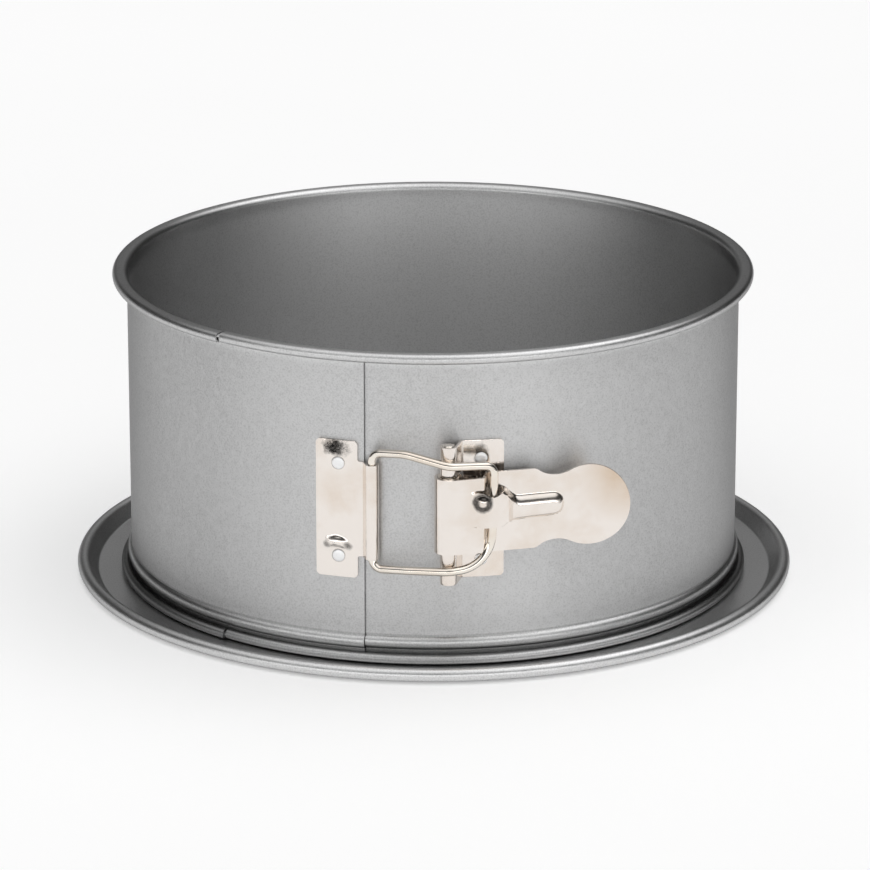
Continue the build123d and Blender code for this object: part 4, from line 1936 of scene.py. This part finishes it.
    def _outer(self, point: Point, along: float) -> bool:
        """Whether a point of the section lies on the sheet's outer face.

        Args:
            point: Point of the section.
            along: Its distance along the path.

        Returns:
            True on the outer face.
        """
        (x, y), heading = self.face.at(along)
        aside = (point[1] - y) * math.cos(heading) - (point[0] - x) * math.sin(heading)
        return aside > self.sheet / 2

    def _press(self, point: Point, along: float, height: float) -> Point:
        """Press the hump, the rib and the pip.

        Args:
            point: Point of the section.
            along: Its distance along the path.
            height: Its height.

        Returns:
            The moved point.
        """
        x, y = point
        beyond = along - self.zero
        if beyond < self.press_from:
            return point
        if beyond < self.slot_from:
            raised = (self._level(x) - self.knuckle_radius) * self._root(x, height)
            return (x, y + raised + self._pip(x, height))
        free = self.slot_to - self.slot_from
        share = (beyond - self.slot_from) / (free + self.skew)
        if share > 1.0:
            if x > self.rib_end:
                return point
            return (x, y + (self._level(x) - self.arm_level) * self._flank(x, height))
        u = self.slot_from + free * share
        low = self.lower_edge - self.edge_slack
        if not low < height < along_line(self.upper_edge, u) + self.edge_slack:
            return point
        over = self.sheet if self._outer(point, along) else 0.0
        on_arm = u > self.over_arm
        base = self.arm_level if on_arm else self.knuckle_radius
        flank = self._flank(u, height) if on_arm else 1.0
        return (u, base + (self._level(u) - base) * flank + over + self._pip(u, height))

    def build(self) -> None:
        """Make and dress the lever."""
        blank = Blank(
            "lever_sheet",
            self.stand,
            self.face,
            self.sheet,
            side=1,
            loops=[self._outline(), *self._slots()],
            pitch=self.pitch,
            turn_step=self.turn_step,
            press=self._press,
            edge_round=self.edge_round,
        )
        piece = blank.build()
        spots = tuple(replace(mark, place=self.stand.place(*mark.place)) for mark in self.marks)
        glow = self.stand.place(*self.thumb)
        finish = NickelPlate("lever_nickel", marks=spots, glow_place=glow)
        dress(piece, finish, Body.LEVER)
        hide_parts("lever")


@dataclass
class Bail:
    """The bent wire loop between the keeper's curl and the lever's hump."""

    left: Vector
    pin: Vector
    lever: Lever
    radius: float = 1.6
    middle: float = 62.6
    reach: float = 46.3
    in_hump: float = 4.9
    bow_share: float = 0.27
    bow_out: float = 4.3
    pin_out: float = 5.4
    seam: float = 0.4
    lean: float = 1.2
    rises: tuple[float, ...] = (22.9, 24.1, 20.8, 19.8)
    rise_bends: tuple[float, ...] = (4.2, 14.0, 8.0, 3.8)
    falls: tuple[float, ...] = (23.2, 21.9, 20.8, 19.6)
    fall_bends: tuple[float, ...] = (3.9, 10.0, 8.0, 13.5)
    turn_step: float = 6.0

    @property
    def right(self) -> Vector:
        """Axis of the wire's right leg, at height zero.

        Returns:
            Place in the tin, in millimetres.
        """
        stand = self.lever.stand
        step = self.pin + stand.out * self.in_hump - self.left
        ahead, aside = step.dot(stand.across), step.dot(stand.out)
        along = math.sqrt(self.reach**2 - aside**2) - ahead
        return self.pin + stand.across * along + stand.out * self.in_hump

    def build(self) -> None:
        """Make and dress the wire."""
        right = self.right
        bow = self.left.lerp(right, self.bow_share) - Vector((0.0, self.bow_out, 0.0))
        front = self.pin - Vector((0.0, self.pin_out, 0.0))
        corners = [self.left, bow, front, right]
        leaning = [*corners[:3], right - self.lever.stand.across * self.lean]
        lower = list(zip(leaning, self.falls))[::-1]
        points = [
            self.left + UP * (self.middle + self.seam / 2),
            *(place + UP * (self.middle + rise) for place, rise in zip(corners, self.rises)),
            *(place + UP * (self.middle - fall) for place, fall in lower),
            self.left + UP * (self.middle - self.seam / 2),
        ]
        line = rounded_line(points, [*self.rise_bends, *self.fall_bends[::-1]], self.turn_step)
        piece = tube("bail_wire", line, self.radius)
        dress(piece, WIRE_NICKEL, Body.BAIL)
        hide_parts("bail")


# Studio


@dataclass
class Studio:
    """Pale floor, soft room light and the camera at the photograph's angle.

    Attributes:
        distance: Camera's distance from its aim, in metres.
        elevation: Its height over the table, in degrees.
        aim_height: Height of its aim.
        focal_pixels: Focal length, in the photograph's pixels.
        principal: Pixel that the lens looks at.
        sensor: Sensor's width, in millimetres.
        far_plane: Farthest distance that the camera sees.
        floor_half: Half the floor's side.
        room_power: Brightest level that the room may have.
        room: Elevation, and brightness at twelve places round the horizon, from the back.
        strip_power: Brightest level that a strip may have.
        strips: Elevation and share of brightness of the long strips overhead.
        strip_reach: Degrees from the front between which the strips fade.
    """

    distance: float = 2.0364
    elevation: float = 17.640
    aim_height: float = 0.060
    focal_pixels: float = 5101.94
    principal: Point = (433.8, 418.38)
    sensor: float = 36.0
    far_plane: float = 50.0
    floor_half: float = 7.0
    room_power: float = 3.0
    room: tuple[tuple[float, tuple[float, ...]], ...] = (
        (0.0, (0.02, 0.58, 0.28, 0.02, 1.28, 1.92, 2.06, 1.90, 0.72, 0.02, 0.03, 0.02)),
        (15.0, (0.36, 0.02, 0.02, 0.02, 0.46, 0.79, 0.53, 1.05, 0.26, 0.02, 0.02, 0.02)),
        (32.0, (0.32, 0.02, 0.02, 0.02, 0.47, 0.50, 0.20, 0.63, 0.43, 0.02, 0.02, 0.02)),
        (55.0, (0.84, 0.75, 0.83, 0.86, 1.03, 0.94, 0.82, 1.18, 1.48, 1.69, 2.18, 1.73)),
        (90.0, (1.52,) * 12),
    )
    strip_power: float = 2.0
    strips: tuple[Point, ...] = (
        (0.0, 0.12),
        (2.0, 0.12),
        (3.5, 1.75),
        (15.0, 1.75),
        (18.0, 0.15),
        (34.0, 0.15),
        (37.0, 1.1),
        (50.0, 1.1),
        (56.0, 1.0),
    )
    strip_reach: Point = (70.0, 100.0)

    def camera(self) -> None:
        """Make the scene's camera."""
        turn = math.radians(self.elevation)
        data = bpy.data.cameras.new("photo_camera")
        data.sensor_width = self.sensor
        data.lens = self.focal_pixels * self.sensor / IMAGE_SIDE
        data.shift_x = (IMAGE_SIDE / 2 - self.principal[0]) / IMAGE_SIDE
        data.shift_y = (self.principal[1] - IMAGE_SIDE / 2) / IMAGE_SIDE
        data.clip_end = self.far_plane
        made = bpy.data.objects.new("photo_camera", data)
        height = self.aim_height + self.distance * math.sin(turn)
        made.location = (0.0, -self.distance * math.cos(turn), height)
        made.rotation_euler = (math.pi / 2 - turn, 0.0, 0.0)
        bpy.context.scene.collection.objects.link(made)
        bpy.context.scene.camera = made

    def floor(self) -> None:
        """Make the floor, which keeps the tin's shadow."""
        maker = bmesh.new()
        bmesh.ops.create_grid(maker, x_segments=8, y_segments=8, size=self.floor_half)
        plane = finish_mesh(maker, "floor", sharp=30.0)
        plane.data.materials.append(FloorPaper("floor_paper").material())

    def _horizon(self, bench: NodeBench, turn: Socket, levels: Sequence[float]) -> Socket:
        """Brightness round the horizon, from the back over the left side.

        Args:
            bench: World's tree.
            turn: Share of the way round.
            levels: Brightness at even steps.

        Returns:
            The brightness, as a share of the room's.
        """
        closed = [*levels, levels[0]]
        last = len(closed) - 1
        return bench.ramp(turn, [(k / last, level / self.room_power) for k, level in enumerate(closed)])

    def lamps(self) -> None:
        """Make the room's soft light, brightness by direction."""
        world = bpy.data.worlds.new("room")
        bpy.context.scene.world = world
        bench = NodeBench.emptied(world)
        sight = bench.add("ShaderNodeTexCoord").outputs["Generated"]
        x, y, z = bench.add("ShaderNodeSeparateXYZ", {"Vector": sight}).outputs
        round_angle = bench.maths(Sum.HEADING, x, bench.maths(Sum.TIMES, y, -1.0))
        turn = bench.spread(round_angle, 0.0, 1.0, -math.pi, math.pi)
        height = bench.spread(bench.maths(Sum.ARCSINE, z), -90.0, 90.0, -math.pi / 2, math.pi / 2)
        light = self._horizon(bench, turn, self.room[0][1])
        for (before, _), (after, levels) in zip(self.room, self.room[1:]):
            share = bench.spread(height, 0.0, 1.0, before, after)
            light = bench.mix(light, self._horizon(bench, turn, levels), share)
        stops = [(place / 90.0, level / self.strip_power) for place, level in self.strips]
        strips = bench.ramp(bench.spread(height, 0.0, 1.0, 0.0, 90.0), stops)
        aside = bench.maths(Sum.SIZE, bench.spread(turn, -180.0, 180.0, 0.0, 1.0))
        faded = bench.spread(aside, 0.0, 1.0, *self.strip_reach)
        strips = bench.mix(strips, grey(1.0 / self.strip_power), faded)
        light = bench.mix(light, strips, 1.0, Layer.DARKEN)
        power = self.room_power * self.strip_power
        glow = bench.add("ShaderNodeBackground", {"Color": light, "Strength": power})
        bench.add("ShaderNodeOutputWorld", {"Surface": glow.outputs["Background"]})

    def set_up(self) -> None:
        """Make everything round the tin."""
        self.camera()
        self.floor()
        self.lamps()
        bpy.context.scene.view_settings.view_transform = "Standard"


def main() -> None:
    """Build the tin piece by piece, then the studio."""
    logging.basicConfig(level=logging.INFO, format="%(name)s %(message)s")
    band = SpringBand()
    keeper = Keeper(band, band.axis_shift)
    bracket = Bracket(band)
    lever = Lever(bracket.pivot)
    assemblies: tuple[Assembly, ...] = (
        BaseTray(),
        band,
        keeper,
        bracket,
        HingePin(bracket.pivot),
        lever,
        Bail(keeper.pivot, bracket.pivot, lever),
        Rivet("keeper_rivet_top", "keeper_rivet_upper", keeper, keeper.rivet_heights[1]),
        Rivet("keeper_rivet_foot", "keeper_rivet_lower", keeper, keeper.rivet_heights[0]),
        Rivet("bracket_rivet_top", "bracket_rivet_upper", bracket, bracket.rivet_heights[1]),
        Rivet("bracket_rivet_foot", "bracket_rivet_lower", bracket, bracket.rivet_heights[0]),
    )
    for assembly in assemblies:
        assembly.build()
    Studio().set_up()


if __name__ == "__main__":
    main()
